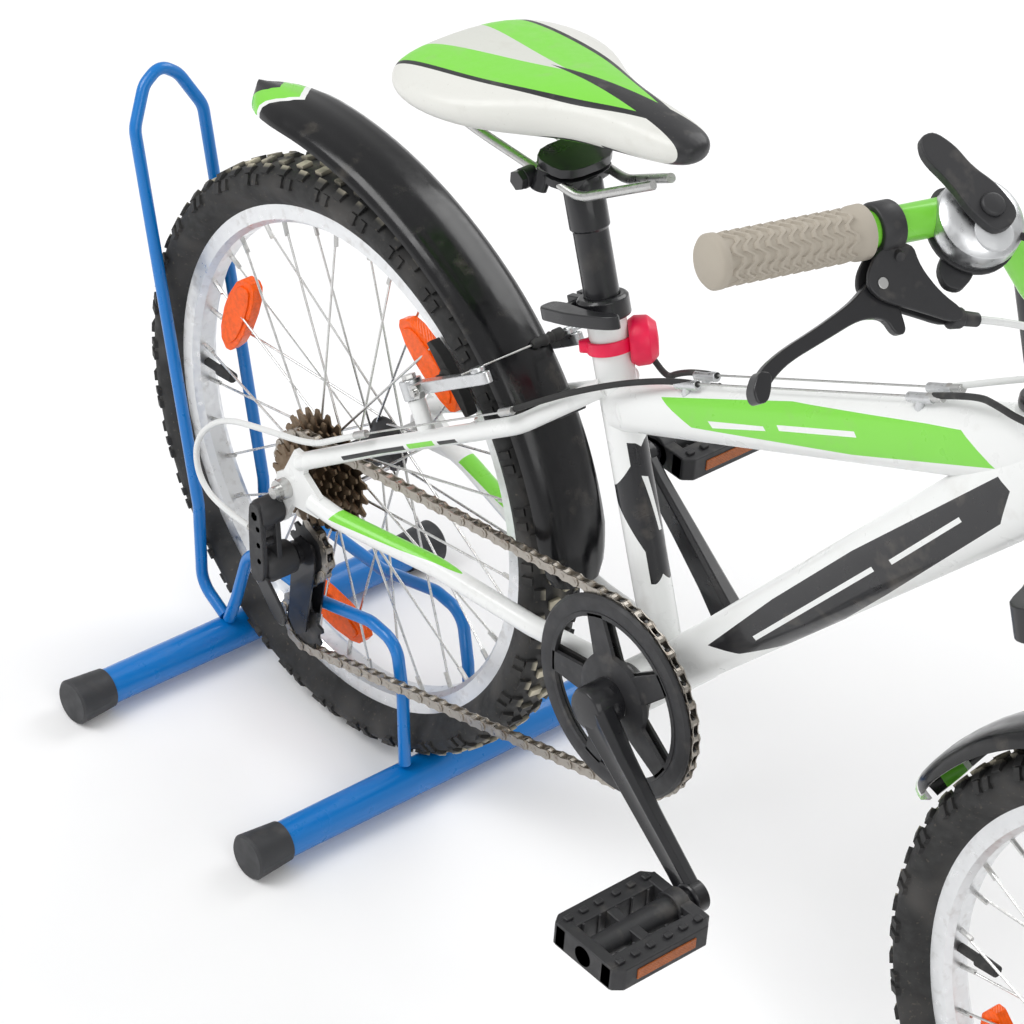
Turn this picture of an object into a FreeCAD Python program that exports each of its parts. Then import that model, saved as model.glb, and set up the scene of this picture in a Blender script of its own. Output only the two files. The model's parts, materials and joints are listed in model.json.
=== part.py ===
"""A child's twenty-inch mountain bicycle standing in a tubular rear-wheel stand.

Layout points are given from the rear axle: x forward, y to the rider's left, z up.
place() moves them to the model's own origin, on the floor under the middle of the object.
"""
import FreeCAD, Part
import math
import os
import Sketcher

V = FreeCAD.Vector
Y_AXIS = V(0, 1, 0)

SIZES = (
    # overall layout
    ("wheelbase", 853), ("tyre_radius", 244), ("stand_bar_spread", 116), ("stand_bar_length", 376),
    ("bracket_x", 358), ("bracket_z", 21), ("seat_angle", 69.1), ("seat_tube_length", 284),
    ("head_angle", 70), ("fork_offset", 38), ("fork_length", 366), ("head_tube_length", 104),
    ("bar_half_width", 280), ("bar_end_x", 628.4), ("bar_end_z", 613.9),
    # clearances: contact is a hair of air between bodies, running is the gap of a bearing or bush
    ("contact_gap", 0.4), ("running_gap", 0.05), ("side_gap", 0.5),
    # stand
    ("stand_bar_radius", 15), ("stand_bar_wall", 1.5), ("stand_rod_radius", 5),
    ("stand_cap_radius", 19), ("stand_cap_inner_radius", 16.5), ("stand_cap_length", 34),
    ("stand_cap_end", 5), ("stand_cap_flat", 1),
    ("hoop_half_width", 33), ("hoop_bend", 22), ("rail_bend", 26),
    # wheels
    ("tyre_half_width", 25), ("tyre_wall", 4), ("rim_radius", 209), ("rim_depth", 16),
    ("rim_half_width", 12), ("spoke_radius", 1), ("spokes", 36), ("flange_radius", 22.5),
    ("flange_hole_radius", 19.5), ("flange_width", 3), ("hub_barrel_radius", 13),
    ("hub_flange_left", 32), ("hub_flange_right", 20), ("front_flange", 28),
    ("axle_radius", 4.75), ("rear_axle_half", 82), ("front_axle_half", 66), ("nut_radius", 8.5),
    ("nut_width", 8), ("freewheel_boss_radius", 15), ("freewheel_boss_end", 56),
    # drive
    ("chain_pitch", 12.7), ("chain_line", 46), ("chain_half_height", 4), ("chain_inner_half", 2),
    ("chain_outer_half", 3.6), ("roller_radius", 3.9), ("sprocket_pitch_y", 5.3),
    ("sprocket_width", 1.9), ("tooth_height", 3), ("ring_teeth", 38), ("pulley_teeth", 11),
    ("driven_sprocket", 3), ("guard_radius", 79), ("guard_width", 4), ("guard_gap", 4),
    ("spindle_radius", 8), ("crank_length", 152), ("crank_angle", -30.5), ("crank_boss_radius", 17),
    ("crank_boss_in", 55), ("crank_boss_out", 80), ("crank_eye_in", 80), ("crank_eye_out", 92),
    ("crank_eye_radius", 12.5), ("pedal_axle_radius", 7), ("pedal_in", 97), ("pedal_width", 91),
    ("pedal_length", 72), ("pedal_height", 24), ("pedal_bar", 13), ("pedal_core_radius", 12),
    # derailleur
    ("guide_x", 5), ("guide_z", -66), ("tension_x", 0), ("tension_z", -140),
    ("cage_half_width", 5.5), ("cage_plate", 1.6), ("mount_x", -9), ("mount_z", -23),
    # frame
    ("bracket_shell_radius", 20), ("bracket_lug_length", 26),
    ("bracket_shell_half", 34), ("seat_tube_radius", 14.3),
    ("seatpost_radius", 12.7), ("head_tube_radius", 19), ("steerer_radius", 14.3),
    ("tube_wall", 1.8), ("tube_end_solid", 48),
    ("top_tube_rear_radius", 17.5), ("top_tube_front_radius", 27), ("top_tube_half_width", 18),
    ("down_tube_rear_radius", 18), ("down_tube_front_radius", 32), ("down_tube_half_width", 19.5),
    ("chain_stay_radius", 8), ("seat_stay_radius", 7), ("dropout_in", 63.5), ("dropout_width", 5),
    ("top_tube_seat_distance", 204), ("top_tube_head_distance", 442), ("tube_axis_gap", 15),
    ("bridge_radius", 6),
    # fork
    ("fork_leg_spread", 50), ("stanchion_radius", 12.7), ("lower_leg_radius", 17),
    ("fork_leg_offset", 25), ("crown_thickness", 24), ("lower_leg_top", 262), ("fork_travel", 30),
    # brakes
    ("brake_post_radius", 4), ("brake_bush_radius", 8), ("brake_arm_length", 99),
    ("brake_arm_half_width", 5), ("brake_arm_thickness", 8), ("pad_gap", 1.5), ("pad_length", 62),
    ("pad_half_height", 5), ("pad_thickness", 10), ("pad_rise", 20), ("brake_post_length", 30),
    # cockpit
    ("bar_radius", 11.1), ("grip_radius", 15.5), ("grip_length", 101), ("back_sweep", 10),
    ("up_sweep", 4.1), ("bar_rise", 78), ("bar_bend", 38), ("stem_radius", 12.5),
    ("stem_height", 98), ("stem_clamp_radius", 17), ("stem_clamp_half", 22),
    ("lever_drop_angle", 50), ("lever_thickness", 7), ("lever_pin_radius", 3),
    ("shifter_radius", 26), ("shifter_height", 22),
    # saddle
    ("saddle_rear_x", 76), ("saddle_length", 262), ("saddle_half_width", 79),
    ("saddle_rear_z", 402), ("saddle_rise", 38), ("rail_radius", 3.5), ("rail_spread", 21),
    ("post_head_distance", 378), ("collar_height", 17), ("collar_wall", 4),
    # mudguards
    ("guard_half_width", 31), ("mudguard_wall", 2.5), ("mudguard_depth", 14),
    ("rear_mudguard_radius", 256), ("rear_mudguard_tail_radius", 350),
    ("rear_mudguard_start", 9), ("rear_mudguard_bend", 60), ("rear_mudguard_sweep", 44),
    ("front_mudguard_radius", 251), ("front_mudguard_start", 58), ("front_mudguard_end", 160),
    # cables
    ("cable_radius", 2.3),
)

doc = FreeCAD.newDocument("bicycle_on_stand")
sheet = doc.addObject("Spreadsheet::Sheet", "Size")
for row, (alias, number) in enumerate(SIZES, 1):
    sheet.set(f"A{row}", alias.replace("_", " "))
    sheet.set(f"B{row}", str(number))
    sheet.setAlias(f"B{row}", alias)
doc.recompute()

NODES = []


# ---------------------------------------------------------------- values and directions

def value(size):
    """The number behind an expression on the sheet; a plain number stays as it is."""
    return float(sheet.evalExpression(size)) if isinstance(size, str) else float(size)


def get(alias):
    return value("Size." + alias)


def side_view(angle):
    """Unit vector in the side view, at an angle above forward, in degrees."""
    return V(math.cos(math.radians(angle)), 0, math.sin(math.radians(angle)))


BAR_Z = -math.sqrt((get("tyre_radius") + get("stand_bar_radius") + get("contact_gap")) ** 2
                   - get("stand_bar_spread") ** 2)
FLOOR_Z = BAR_Z - get("stand_cap_radius") + get("stand_cap_flat")
AXLE_F = V(get("wheelbase"), 0, FLOOR_Z + get("tyre_radius"))
HOOP_TOP_X = -261.0
CENTRE_X = (get("wheelbase") + get("tyre_radius") + HOOP_TOP_X - get("stand_rod_radius")) / 2


def place(x, y, z):
    return V(x - CENTRE_X, y, z - FLOOR_Z)


BRACKET = place(get("bracket_x"), 0, get("bracket_z"))
REAR = place(0, 0, 0)
FRONT = place(AXLE_F.x, 0, AXLE_F.z)
SEAT_UP = side_view(180 - get("seat_angle"))
HEAD_UP = side_view(180 - get("head_angle"))
HEAD_FORE = side_view(90 - get("head_angle"))


def on_seat(distance):
    return BRACKET + SEAT_UP * distance


def on_head(distance, forward=0, y=0):
    """Point by its distance up the steering axis from beside the front axle."""
    return FRONT + HEAD_UP * distance + HEAD_FORE * (forward - get("fork_offset")) + V(0, y, 0)


# ---------------------------------------------------------------- building helpers

def bind(thing, prop, size):
    if isinstance(size, str):
        thing.setExpression(prop, size)
    else:
        setattr(thing, prop, size)


def node(label, thing):
    thing.Label = label
    NODES.append(thing)
    return thing


def turn_to(direction):
    return FreeCAD.Rotation(V(0, 0, 1), direction)


def basis(normal, major):
    """Rotation whose z is the normal and whose x is as near to major as that allows."""
    z = V(normal).normalize()
    x = (major - z * major.dot(z)).normalize()
    return FreeCAD.Rotation(x, z.cross(x), z, "ZXY")


def basis_along(major, normal):
    """Rotation whose x is the major direction and whose z leans to the normal."""
    x = V(major).normalize()
    z = (normal - x * normal.dot(x)).normalize()
    return FreeCAD.Rotation(x, z.cross(x), z, "XYZ")


def cylinder(name, start, end, radius):
    thing = doc.addObject("Part::Cylinder", name)
    bind(thing, "Radius", radius)
    thing.Height = (end - start).Length
    thing.Placement = FreeCAD.Placement(start, turn_to(end - start))
    return thing


def cross_cylinder(name, centre, y_start, y_end, radius):
    """Cylinder along y, from y_start to y_end, through the side-view point centre."""
    return cylinder(name, V(centre.x, y_start, centre.z), V(centre.x, y_end, centre.z), radius)


def box(name, centre, rotation, sizes):
    """Box about its centre; sizes are its lengths along its own x, y and z."""
    thing = doc.addObject("Part::Box", name)
    for prop, size in zip(("Length", "Width", "Height"), sizes):
        bind(thing, prop, size)
    half = V(*(value(size) / 2 for size in sizes))
    thing.Placement = FreeCAD.Placement(centre - rotation.multVec(half), rotation)
    return thing


def cut(name, base, *tools):
    for number, tool in enumerate(tools):
        result = doc.addObject("Part::Cut", f"{name}_cut{number}")
        result.Base, result.Tool = base, tool
        base = result
    return base


def fuse(name, *things):
    result = doc.addObject("Part::MultiFuse", name + "_whole")
    result.Shapes = list(things)
    return result


def group(name, *things):
    result = doc.addObject("Part::Compound", name + "_group")
    result.Links = list(things)
    return result


def copy_tool(name, thing):
    """A second user of the same solid, so that it can cut a neighbour and stay a piece."""
    link = doc.addObject("Part::Compound", name)
    link.Links = [thing]
    return link


def bent_wire(points, bend):
    """Straight runs through the points, joined by arcs no larger than the runs allow."""
    edges = []
    start = points[0]
    for before, corner, after in zip(points, points[1:], points[2:]):
        back, on = (before - corner), (after - corner)
        turn = math.pi - back.getAngle(on)
        reach = min(0.45 * min(back.Length, on.Length), bend * math.tan(turn / 2))
        back.normalize()
        on.normalize()
        radius = reach / math.tan(turn / 2)
        middle = (back + on).normalize()
        mid = corner + middle * (radius / math.cos(turn / 2) - radius)
        edges.append(Part.LineSegment(start, corner + back * reach).toShape())
        edges.append(Part.Arc(corner + back * reach, mid, corner + on * reach).toShape())
        start = corner + on * reach
    edges.append(Part.LineSegment(start, points[-1]).toShape())
    return Part.Wire(edges)


def swept(name, wire, section):
    path = doc.addObject("Part::Feature", name + "_path")
    path.Shape = wire
    sweep = doc.addObject("Part::Sweep", name + "_sweep")
    sweep.Sections = [section]
    sweep.Spine = (path, [f"Edge{number + 1}" for number in range(len(wire.Edges))])
    sweep.Solid = True
    sweep.Frenet = False
    return sweep


def rod(name, points, radius, bend):
    """Round rod or tube along bent straight runs."""
    section = doc.addObject("Part::Circle", name + "_section")
    bind(section, "Radius", radius)
    section.Placement = FreeCAD.Placement(points[0], turn_to(points[1] - points[0]))
    return swept(name, bent_wire(points, bend), section)


def sketch_on(body, role, outline):
    """Closed polygon sketch, each corner held to the body's axes by the sheet's sizes."""
    sketch = body.newObject("Sketcher::SketchObject", body.Name + "_sketch")
    plane = next(part for part in body.Origin.OriginFeatures if part.Role == role)
    sketch.AttachmentSupport = [(plane, "")]
    sketch.MapMode = "FlatFace"
    corners = [(value(across), value(along)) for across, along in outline]
    count = len(corners)
    for number, corner in enumerate(corners):
        following = corners[(number + 1) % count]
        sketch.addGeometry(Part.LineSegment(V(*corner, 0), V(*following, 0)))
    for number in range(count):
        sketch.addConstraint(Sketcher.Constraint("Coincident", number, 2, (number + 1) % count, 1))
    for number, (corner, sizes) in enumerate(zip(corners, outline)):
        for kind, at, size, axis in zip(("DistanceX", "DistanceY"), corner, sizes, (-2, -1)):
            if at == 0:
                sketch.addConstraint(Sketcher.Constraint("PointOnObject", number, 1, axis))
                continue
            held = sketch.addConstraint(Sketcher.Constraint(kind, -1, 1, number, 1, at))
            if isinstance(size, str):
                sketch.setExpression(f"Constraints[{held}]", size)
    return sketch


def turned(name, centre, direction, outline):
    """Body of revolution; the outline lists radius and distance along the direction."""
    body = doc.addObject("PartDesign::Body", name + "_body")
    sketch = sketch_on(body, "XZ_Plane", outline)
    revolution = body.newObject("PartDesign::Revolution", name + "_turn")
    revolution.Profile = sketch
    revolution.ReferenceAxis = (sketch, ["V_Axis"])
    revolution.Angle = 360
    body.Placement = FreeCAD.Placement(centre, turn_to(direction))
    return body


def plate(name, centre, rotation, outline, thickness):
    """Flat plate; its outline lies in the rotated x-y plane and it grows along z."""
    body = doc.addObject("PartDesign::Body", name + "_body")
    sketch = sketch_on(body, "XY_Plane", outline)
    pad = body.newObject("PartDesign::Pad", name + "_pad")
    pad.Profile = sketch
    bind(pad, "Length", thickness)
    body.Placement = FreeCAD.Placement(centre, rotation)
    return body


def loft(name, sections, ruled=True):
    """Loft through ellipses, each (centre, normal, major direction, major, minor)."""
    rings = []
    for number, (centre, normal, major, long_half, short_half) in enumerate(sections):
        ring = doc.addObject("Part::Ellipse", f"{name}_ring{number}")
        if value(long_half) >= value(short_half):
            bind(ring, "MajorRadius", long_half)
            bind(ring, "MinorRadius", short_half)
        else:
            bind(ring, "MajorRadius", short_half)
            bind(ring, "MinorRadius", long_half)
            major = V(normal).cross(major)
        ring.Placement = FreeCAD.Placement(centre, basis(normal, major))
        rings.append(ring)
    result = doc.addObject("Part::Loft", name + "_loft")
    result.Sections = rings
    result.Solid = True
    result.Ruled = ruled
    return result


SIDE_PLANE = FreeCAD.Rotation(V(1, 0, 0), V(0, 0, 1), V(0, -1, 0), "ZXY")


# ---------------------------------------------------------------- stand

def stand():
    half = get("stand_bar_length") / 2
    bars = []
    caps = []
    for number, x in enumerate((-get("stand_bar_spread"), get("stand_bar_spread"))):
        middle = place(x, 0, BAR_Z)
        tube_half = half - get("stand_cap_end")
        outside = cross_cylinder(f"stand_bar{number}", middle, -tube_half, tube_half,
                                 "Size.stand_bar_radius")
        inside = cross_cylinder(f"stand_bore{number}", middle, -half, half,
                                "Size.stand_bar_radius - Size.stand_bar_wall")
        bars.append(cut(f"stand_bar{number}", outside, inside))
        for sign in (-1, 1):
            caps.append(turned(
                f"stand_cap{number}_{sign + 1}", middle + V(0, sign * half, 0), V(0, -sign, 0),
                ((0, 0), ("Size.stand_cap_radius - 2", 0), ("Size.stand_cap_radius", 2),
                 ("Size.stand_cap_inner_radius", "Size.stand_cap_length"),
                 ("Size.stand_bar_radius", "Size.stand_cap_length"),
                 ("Size.stand_bar_radius", "Size.stand_cap_end"),
                 (0, "Size.stand_cap_end"))))
    both_bars = node("stand_bars", group("stand_bars", *bars))
    # each cap has a flat foot, so that it doesn't roll
    under = box("stand_floor", V(REAR.x, 0, -10), FreeCAD.Rotation(), (600, 700, 20))
    node("stand_end_caps", cut("stand_caps", group("stand_caps", *caps), under))

    # each rod starts at the weld on top of a bar, sunk no deeper than its surface
    width = get("hoop_half_width")
    weld_z = BAR_Z + get("stand_bar_radius") + get("stand_rod_radius") - 2
    rear_x = -get("stand_bar_spread")
    half_hoop = ((rear_x - 3, width, weld_z), (rear_x - 34, width, -200), (-157, width, -126),
                 (-248, width, 184), (-259, width / 2, 213))
    hoop = [place(x, -y, z) for x, y, z in half_hoop]
    hoop += [place(HOOP_TOP_X, 0, 224)]
    hoop += [place(x, y, z) for x, y, z in reversed(half_hoop)]
    loop = rod("stand_hoop", hoop, "Size.stand_rod_radius", get("hoop_bend"))
    node("stand_hoop", cut("stand_hoop", loop, both_bars))
    rails = []
    front_x = get("stand_bar_spread")
    for sign in (-1, 1):
        points = [place(x, sign * width, z) for x, z in
                  ((rear_x + 3, weld_z), (rear_x + 12, -188), (rear_x + 28, -127), (0, -124),
                   (66, -104), (front_x - 18, -106), (front_x - 7, -150), (front_x, weld_z))]
        rails.append(rod(f"stand_rail{sign + 1}", points, "Size.stand_rod_radius",
                         get("rail_bend")))
    pair = group("stand_rails", *rails)
    node("stand_rails", cut("stand_rails", pair, both_bars))


# ---------------------------------------------------------------- wheels

def wheel(end, centre, flanges):
    """Tyre, rim, spokes and hub of one wheel, and the hub's bore for its axle."""
    tyre = (("Size.rim_radius", "-Size.rim_half_width + 1"),
            ("Size.rim_radius + 6", "-Size.tyre_half_width + 6"),
            ("Size.tyre_radius - 20", "-Size.tyre_half_width"),
            ("Size.tyre_radius - 10", "-Size.tyre_half_width"),
            ("Size.tyre_radius - 3", "-Size.tyre_half_width + 7"),
            ("Size.tyre_radius", "-Size.tyre_half_width + 14"),
            ("Size.tyre_radius", "Size.tyre_half_width - 14"),
            ("Size.tyre_radius - 3", "Size.tyre_half_width - 7"),
            ("Size.tyre_radius - 10", "Size.tyre_half_width"),
            ("Size.tyre_radius - 20", "Size.tyre_half_width"),
            ("Size.rim_radius + 6", "Size.tyre_half_width - 6"),
            ("Size.rim_radius", "Size.rim_half_width - 1"),
            ("Size.rim_radius", "Size.rim_half_width - 4"),
            ("Size.rim_radius + 8", "Size.tyre_half_width - 10"),
            ("Size.tyre_radius - 19", "Size.tyre_half_width - Size.tyre_wall"),
            ("Size.tyre_radius - 12", "Size.tyre_half_width - Size.tyre_wall - 2"),
            ("Size.tyre_radius - 8", "Size.tyre_half_width - 14"),
            ("Size.tyre_radius - 8", "-Size.tyre_half_width + 14"),
            ("Size.tyre_radius - 12", "-Size.tyre_half_width + Size.tyre_wall + 2"),
            ("Size.tyre_radius - 19", "-Size.tyre_half_width + Size.tyre_wall"),
            ("Size.rim_radius + 8", "-Size.tyre_half_width + 10"),
            ("Size.rim_radius", "-Size.rim_half_width + 4"))
    node(end + "_tyre", turned(end + "_tyre", centre, Y_AXIS, tyre))
    rim = (("Size.rim_radius - Size.rim_depth", -7),
           ("Size.rim_radius - Size.rim_depth + 4", "-Size.rim_half_width"),
           ("Size.rim_radius", "-Size.rim_half_width"),
           ("Size.rim_radius", "-Size.rim_half_width + 1"),
           ("Size.rim_radius - 7", "-Size.rim_half_width + 2"),
           ("Size.rim_radius - 7", "Size.rim_half_width - 2"),
           ("Size.rim_radius", "Size.rim_half_width - 1"),
           ("Size.rim_radius", "Size.rim_half_width"),
           ("Size.rim_radius - Size.rim_depth + 4", "Size.rim_half_width"),
           ("Size.rim_radius - Size.rim_depth", 7))
    node(end + "_rim", turned(end + "_rim", centre, Y_AXIS, rim))

    # three-cross lacing: alternate spokes lean forward and back on each flange
    left, right = flanges
    count = int(get("spokes"))
    inner = get("rim_radius") - get("rim_depth")
    lean = math.radians(60)
    spokes = []
    for number in range(count):
        side = 1 if number % 2 else -1
        way = 1 if number % 4 < 2 else -1
        flange_y = (left if side > 0 else -right) + way * 2.2
        rim_angle = math.tau * number / count
        hub_angle = rim_angle - way * lean
        head = V(math.cos(hub_angle), 0, math.sin(hub_angle)) * get("flange_hole_radius")
        nipple = V(math.cos(rim_angle), 0, math.sin(rim_angle)) * inner
        spokes.append(cylinder(f"{end}_spoke{number}", centre + head + V(0, flange_y, 0),
                               centre + nipple + V(0, side * 2, 0), "Size.spoke_radius"))
    node(end + "_spokes", group(end + "_spokes", *spokes))


def hub_outline(left, right, boss_end=None):
    """Half section of a hub shell, from its right end to its left."""
    bore = "Size.axle_radius + Size.running_gap"
    flange = "Size.flange_width / 2 - 0.6"
    outline = [(bore, f"-{boss_end or right} - (3)")]
    if boss_end:
        outline += [("Size.freewheel_boss_radius", f"-{boss_end} - (3)"),
                    ("Size.freewheel_boss_radius", f"-{right} - {flange}")]
    else:
        outline += [("Size.hub_barrel_radius - 3", f"-{right} - (3)"),
                    ("Size.hub_barrel_radius - 3", f"-{right} - {flange}")]
    outline += [("Size.flange_radius", f"-{right} - {flange}"),
                ("Size.flange_radius", f"-{right} + {flange}"),
                ("Size.hub_barrel_radius", f"-{right} + 6"),
                ("Size.hub_barrel_radius", f"{left} - 6"),
                ("Size.flange_radius", f"{left} - ({flange})"),
                ("Size.flange_radius", f"{left} + {flange}"),
                ("Size.hub_barrel_radius - 3", f"{left} + {flange}"),
                ("Size.hub_barrel_radius - 3", f"{left} + 5"), (bore, f"{left} + 5")]
    return outline


def axle(name, centre, half, dropout_out, cone_in):
    """Axle with its cones inside the dropouts and its nuts outside them."""
    things = [cross_cylinder(name + "_rod", centre, -half, half, "Size.axle_radius")]
    for sign in (-1, 1):
        nut_end = dropout_out + get("nut_width")
        things.append(cross_cylinder(f"{name}_nut{sign + 1}", centre, sign * dropout_out,
                                     sign * nut_end, "Size.nut_radius"))
        near, far = cone_in[0 if sign < 0 else 1]
        things.append(cross_cylinder(f"{name}_cone{sign + 1}", centre, sign * near, sign * far,
                                     "Size.nut_radius"))
    return node(name, fuse(name, *things))


def wheels():
    left, right = get("hub_flange_left"), get("hub_flange_right")
    wheel("rear", REAR, (left, right))
    outline = hub_outline("Size.hub_flange_left", "Size.hub_flange_right",
                          "(Size.freewheel_boss_end - 3)")
    node("rear_hub", turned("rear_hub", REAR, Y_AXIS, outline))
    gap = get("side_gap")
    dropout_in = get("dropout_in")
    dropout_out = dropout_in + get("dropout_width")
    axle("rear_axle", REAR, get("rear_axle_half"), dropout_out,
         ((get("freewheel_boss_end") + gap, dropout_in), (left + 5 + gap, dropout_in)))
    front = get("front_flange")
    wheel("front", FRONT, (front, front))
    outline = hub_outline("Size.front_flange", "Size.front_flange")
    node("front_hub", turned("front_hub", FRONT, Y_AXIS, outline))


# ---------------------------------------------------------------- drive

def pitch_radius(teeth):
    return get("chain_pitch") / 2 / math.sin(math.pi / teeth)


SPROCKET_TEETH = (24, 22, 20, 18, 16, 14)
LINE_Y = -get("chain_line")
CRANK_OUT = side_view(get("crank_angle"))
GUIDE = place(get("guide_x"), 0, get("guide_z"))
TENSION = place(get("tension_x"), 0, get("tension_z"))


def sprocket_y(number):
    return LINE_Y + (get("driven_sprocket") - number) * get("sprocket_pitch_y")


def freewheel():
    """Six sprockets on one core, largest inboard."""
    half = get("sprocket_width") / 2
    core = 21.0
    bore = "Size.freewheel_boss_radius + Size.running_gap"
    outer_y = sprocket_y(len(SPROCKET_TEETH) - 1) - half
    outline = [(bore, sprocket_y(0) + half), (core, sprocket_y(0) + half)]
    for number, teeth in enumerate(SPROCKET_TEETH):
        tip = pitch_radius(teeth) + get("tooth_height")
        middle = sprocket_y(number)
        if number:
            outline += [(core, middle + half)]
        outline += [(tip, middle + half), (tip, middle - half), (core, middle - half)]
    outline.pop(1)
    outline.pop()
    outline += [(bore, outer_y)]
    node("freewheel", turned("freewheel", REAR, Y_AXIS, outline))


def crankset():
    spindle_half = get("crank_boss_out") - 4
    node("crank_spindle", cross_cylinder("crank_spindle", BRACKET, -spindle_half, spindle_half,
                                         "Size.spindle_radius"))
    ring_tip = pitch_radius(int(get("ring_teeth"))) + get("tooth_height")
    ring_half = 1.5
    ring = cross_cylinder("ring_disc", BRACKET, LINE_Y - ring_half, LINE_Y + ring_half, ring_tip)
    eye = cross_cylinder("ring_eye", BRACKET, LINE_Y - 3, LINE_Y + 3, "Size.spindle_radius")
    windows = [cross_cylinder(f"ring_window{number}",
                              BRACKET + side_view(36 + 72 * number) * 44,
                              LINE_Y - 3, LINE_Y + 3, 19) for number in range(5)]
    node("chainring", cut("chainring", ring, eye, *windows))

    guard_in = LINE_Y - get("guard_gap")
    guard_out = guard_in - get("guard_width")
    disc = cross_cylinder("guard_disc", BRACKET, guard_out, guard_in, "Size.guard_radius")
    eye = cross_cylinder("guard_eye", BRACKET, guard_out - 1, guard_in + 1,
                         "Size.crank_boss_radius")
    windows = [cross_cylinder(f"guard_window{number}",
                              BRACKET + side_view(36 + 72 * number) * 44,
                              guard_out - 1, guard_in + 1, 17) for number in range(5)]
    node("chain_guard", cut("chain_guard", disc, eye, *windows))

    for name, sign, way in (("right_crank", -1, 1), ("left_crank", 1, -1)):
        out = CRANK_OUT * (way * get("crank_length"))
        boss_in = LINE_Y - ring_half if sign < 0 else get("crank_boss_in")
        boss = cross_cylinder(name + "_boss", BRACKET, boss_in, sign * get("crank_boss_out"),
                              "Size.crank_boss_radius")
        things = [boss]
        eye_centre = BRACKET + out
        things.append(cross_cylinder(name + "_eye", eye_centre, sign * get("crank_eye_in"),
                                     sign * get("crank_eye_out"), "Size.crank_eye_radius"))
        root = V(BRACKET.x, sign * (get("crank_boss_out") - 9), BRACKET.z)
        tip_y = sign * (get("crank_eye_in") + get("crank_eye_out")) / 2
        tip = V(eye_centre.x, tip_y, eye_centre.z)
        arm = tip - root
        flat = basis_along(arm, V(0, sign, 0))
        blade = ((0, -13), (arm.Length, -10), (arm.Length, 10), (0, 13))
        things.append(plate(name, root - flat.multVec(V(0, 0, 6)), flat, blade, 12))
        axle_end = sign * (get("pedal_in") + get("pedal_width") - 8)
        things.append(cross_cylinder(name + "_pedal_axle", eye_centre,
                                     sign * get("crank_eye_in"), axle_end,
                                     "Size.pedal_axle_radius"))
        bore = cross_cylinder(name + "_socket", BRACKET, 0, sign * spindle_half,
                              "Size.spindle_radius")
        node(name, cut(name, fuse(name, *things), bore))


def pedals():
    """Cage pedal: a core on the axle, two treads across and two bars along."""
    start, width = get("pedal_in"), get("pedal_width")
    for name, sign, way in (("right_pedal", -1, 1), ("left_pedal", 1, -1)):
        centre = BRACKET + CRANK_OUT * (way * get("crank_length"))
        middle = V(centre.x, sign * (start + width / 2), centre.z)
        level = FreeCAD.Rotation()
        block = box(name + "_block", middle, level,
                    ("Size.pedal_length", "Size.pedal_width", "Size.pedal_height"))
        windows = []
        for end in (-1, 1):
            gap = get("pedal_length") / 2 - get("pedal_core_radius") - get("pedal_bar")
            offset = end * (get("pedal_core_radius") + gap / 2)
            windows.append(box(f"{name}_window{end + 1}", middle + V(offset, 0, 0), level,
                               (gap, width - 2 * get("pedal_bar"), get("pedal_height") * 2)))
        bore = cross_cylinder(name + "_bore", centre, sign * (start - 1),
                              sign * (start + width - 5),
                              "Size.pedal_axle_radius + Size.running_gap")
        node(name, cut(name, block, *windows, bore))


def chain_run(offset):
    """Closed outline of the chain, moved sideways from its pitch line by the offset."""
    sprocket = pitch_radius(SPROCKET_TEETH[int(get("driven_sprocket"))])
    pulley = pitch_radius(int(get("pulley_teeth")))
    ring = pitch_radius(int(get("ring_teeth")))
    stops = ((REAR, -sprocket), (BRACKET, -ring), (TENSION, -pulley), (GUIDE, pulley))
    lines = []
    for (here, turn_a), (there, turn_b) in zip(stops, stops[1:] + stops[:1]):
        turn_a, turn_b = turn_a - offset, turn_b - offset
        gap = there - here
        heading = math.atan2(gap.z, gap.x) - math.asin((turn_b - turn_a) / gap.Length)
        side = V(-math.sin(heading), 0, math.cos(heading))
        lines.append((here - side * turn_a, there - side * turn_b))
    edges = []
    for number, ((stop, turn), line) in enumerate(zip(stops, lines)):
        arrive = lines[number - 1][1]
        radius = abs(turn - offset)
        first, last = arrive - stop, line[0] - stop
        start = math.atan2(first.z, first.x)
        swing = math.atan2(last.z, last.x) - start
        swing = swing % math.tau if turn > 0 else -((-swing) % math.tau)
        half = start + swing / 2
        middle = stop + V(math.cos(half), 0, math.sin(half)) * radius
        edges.append(Part.Arc(arrive, middle, line[0]).toShape())
        edges.append(Part.LineSegment(*line).toShape())
    return Part.Wire(edges), lines


def chain():
    """Two bands of side plates, with rollers where the chain runs free of teeth."""
    half = get("chain_half_height")
    face = Part.Face(chain_run(half)[0]).cut(Part.Face(chain_run(-half)[0]))
    pieces = []
    thick = get("chain_outer_half") - get("chain_inner_half")
    for y in (LINE_Y + get("chain_inner_half"), LINE_Y - get("chain_outer_half")):
        band = face.copy()
        band.translate(V(0, y, 0))
        pieces.append(band.extrude(V(0, thick, 0)))
    clear = 35.0
    for start, end in chain_run(0)[1][:2]:
        length = (end - start).Length
        heading = (end - start).normalize()
        for number in range(int((length - 2 * clear) / get("chain_pitch"))):
            at = start + heading * (clear + number * get("chain_pitch"))
            foot = V(at.x, LINE_Y - get("chain_outer_half"), at.z)
            pieces.append(Part.makeCylinder(get("roller_radius"), 2 * get("chain_outer_half"),
                                            foot, Y_AXIS))
    whole = doc.addObject("Part::Feature", "chain_links")
    whole.Shape = pieces[0].multiFuse(pieces[1:]).removeSplitter()
    node("chain", whole)


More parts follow.
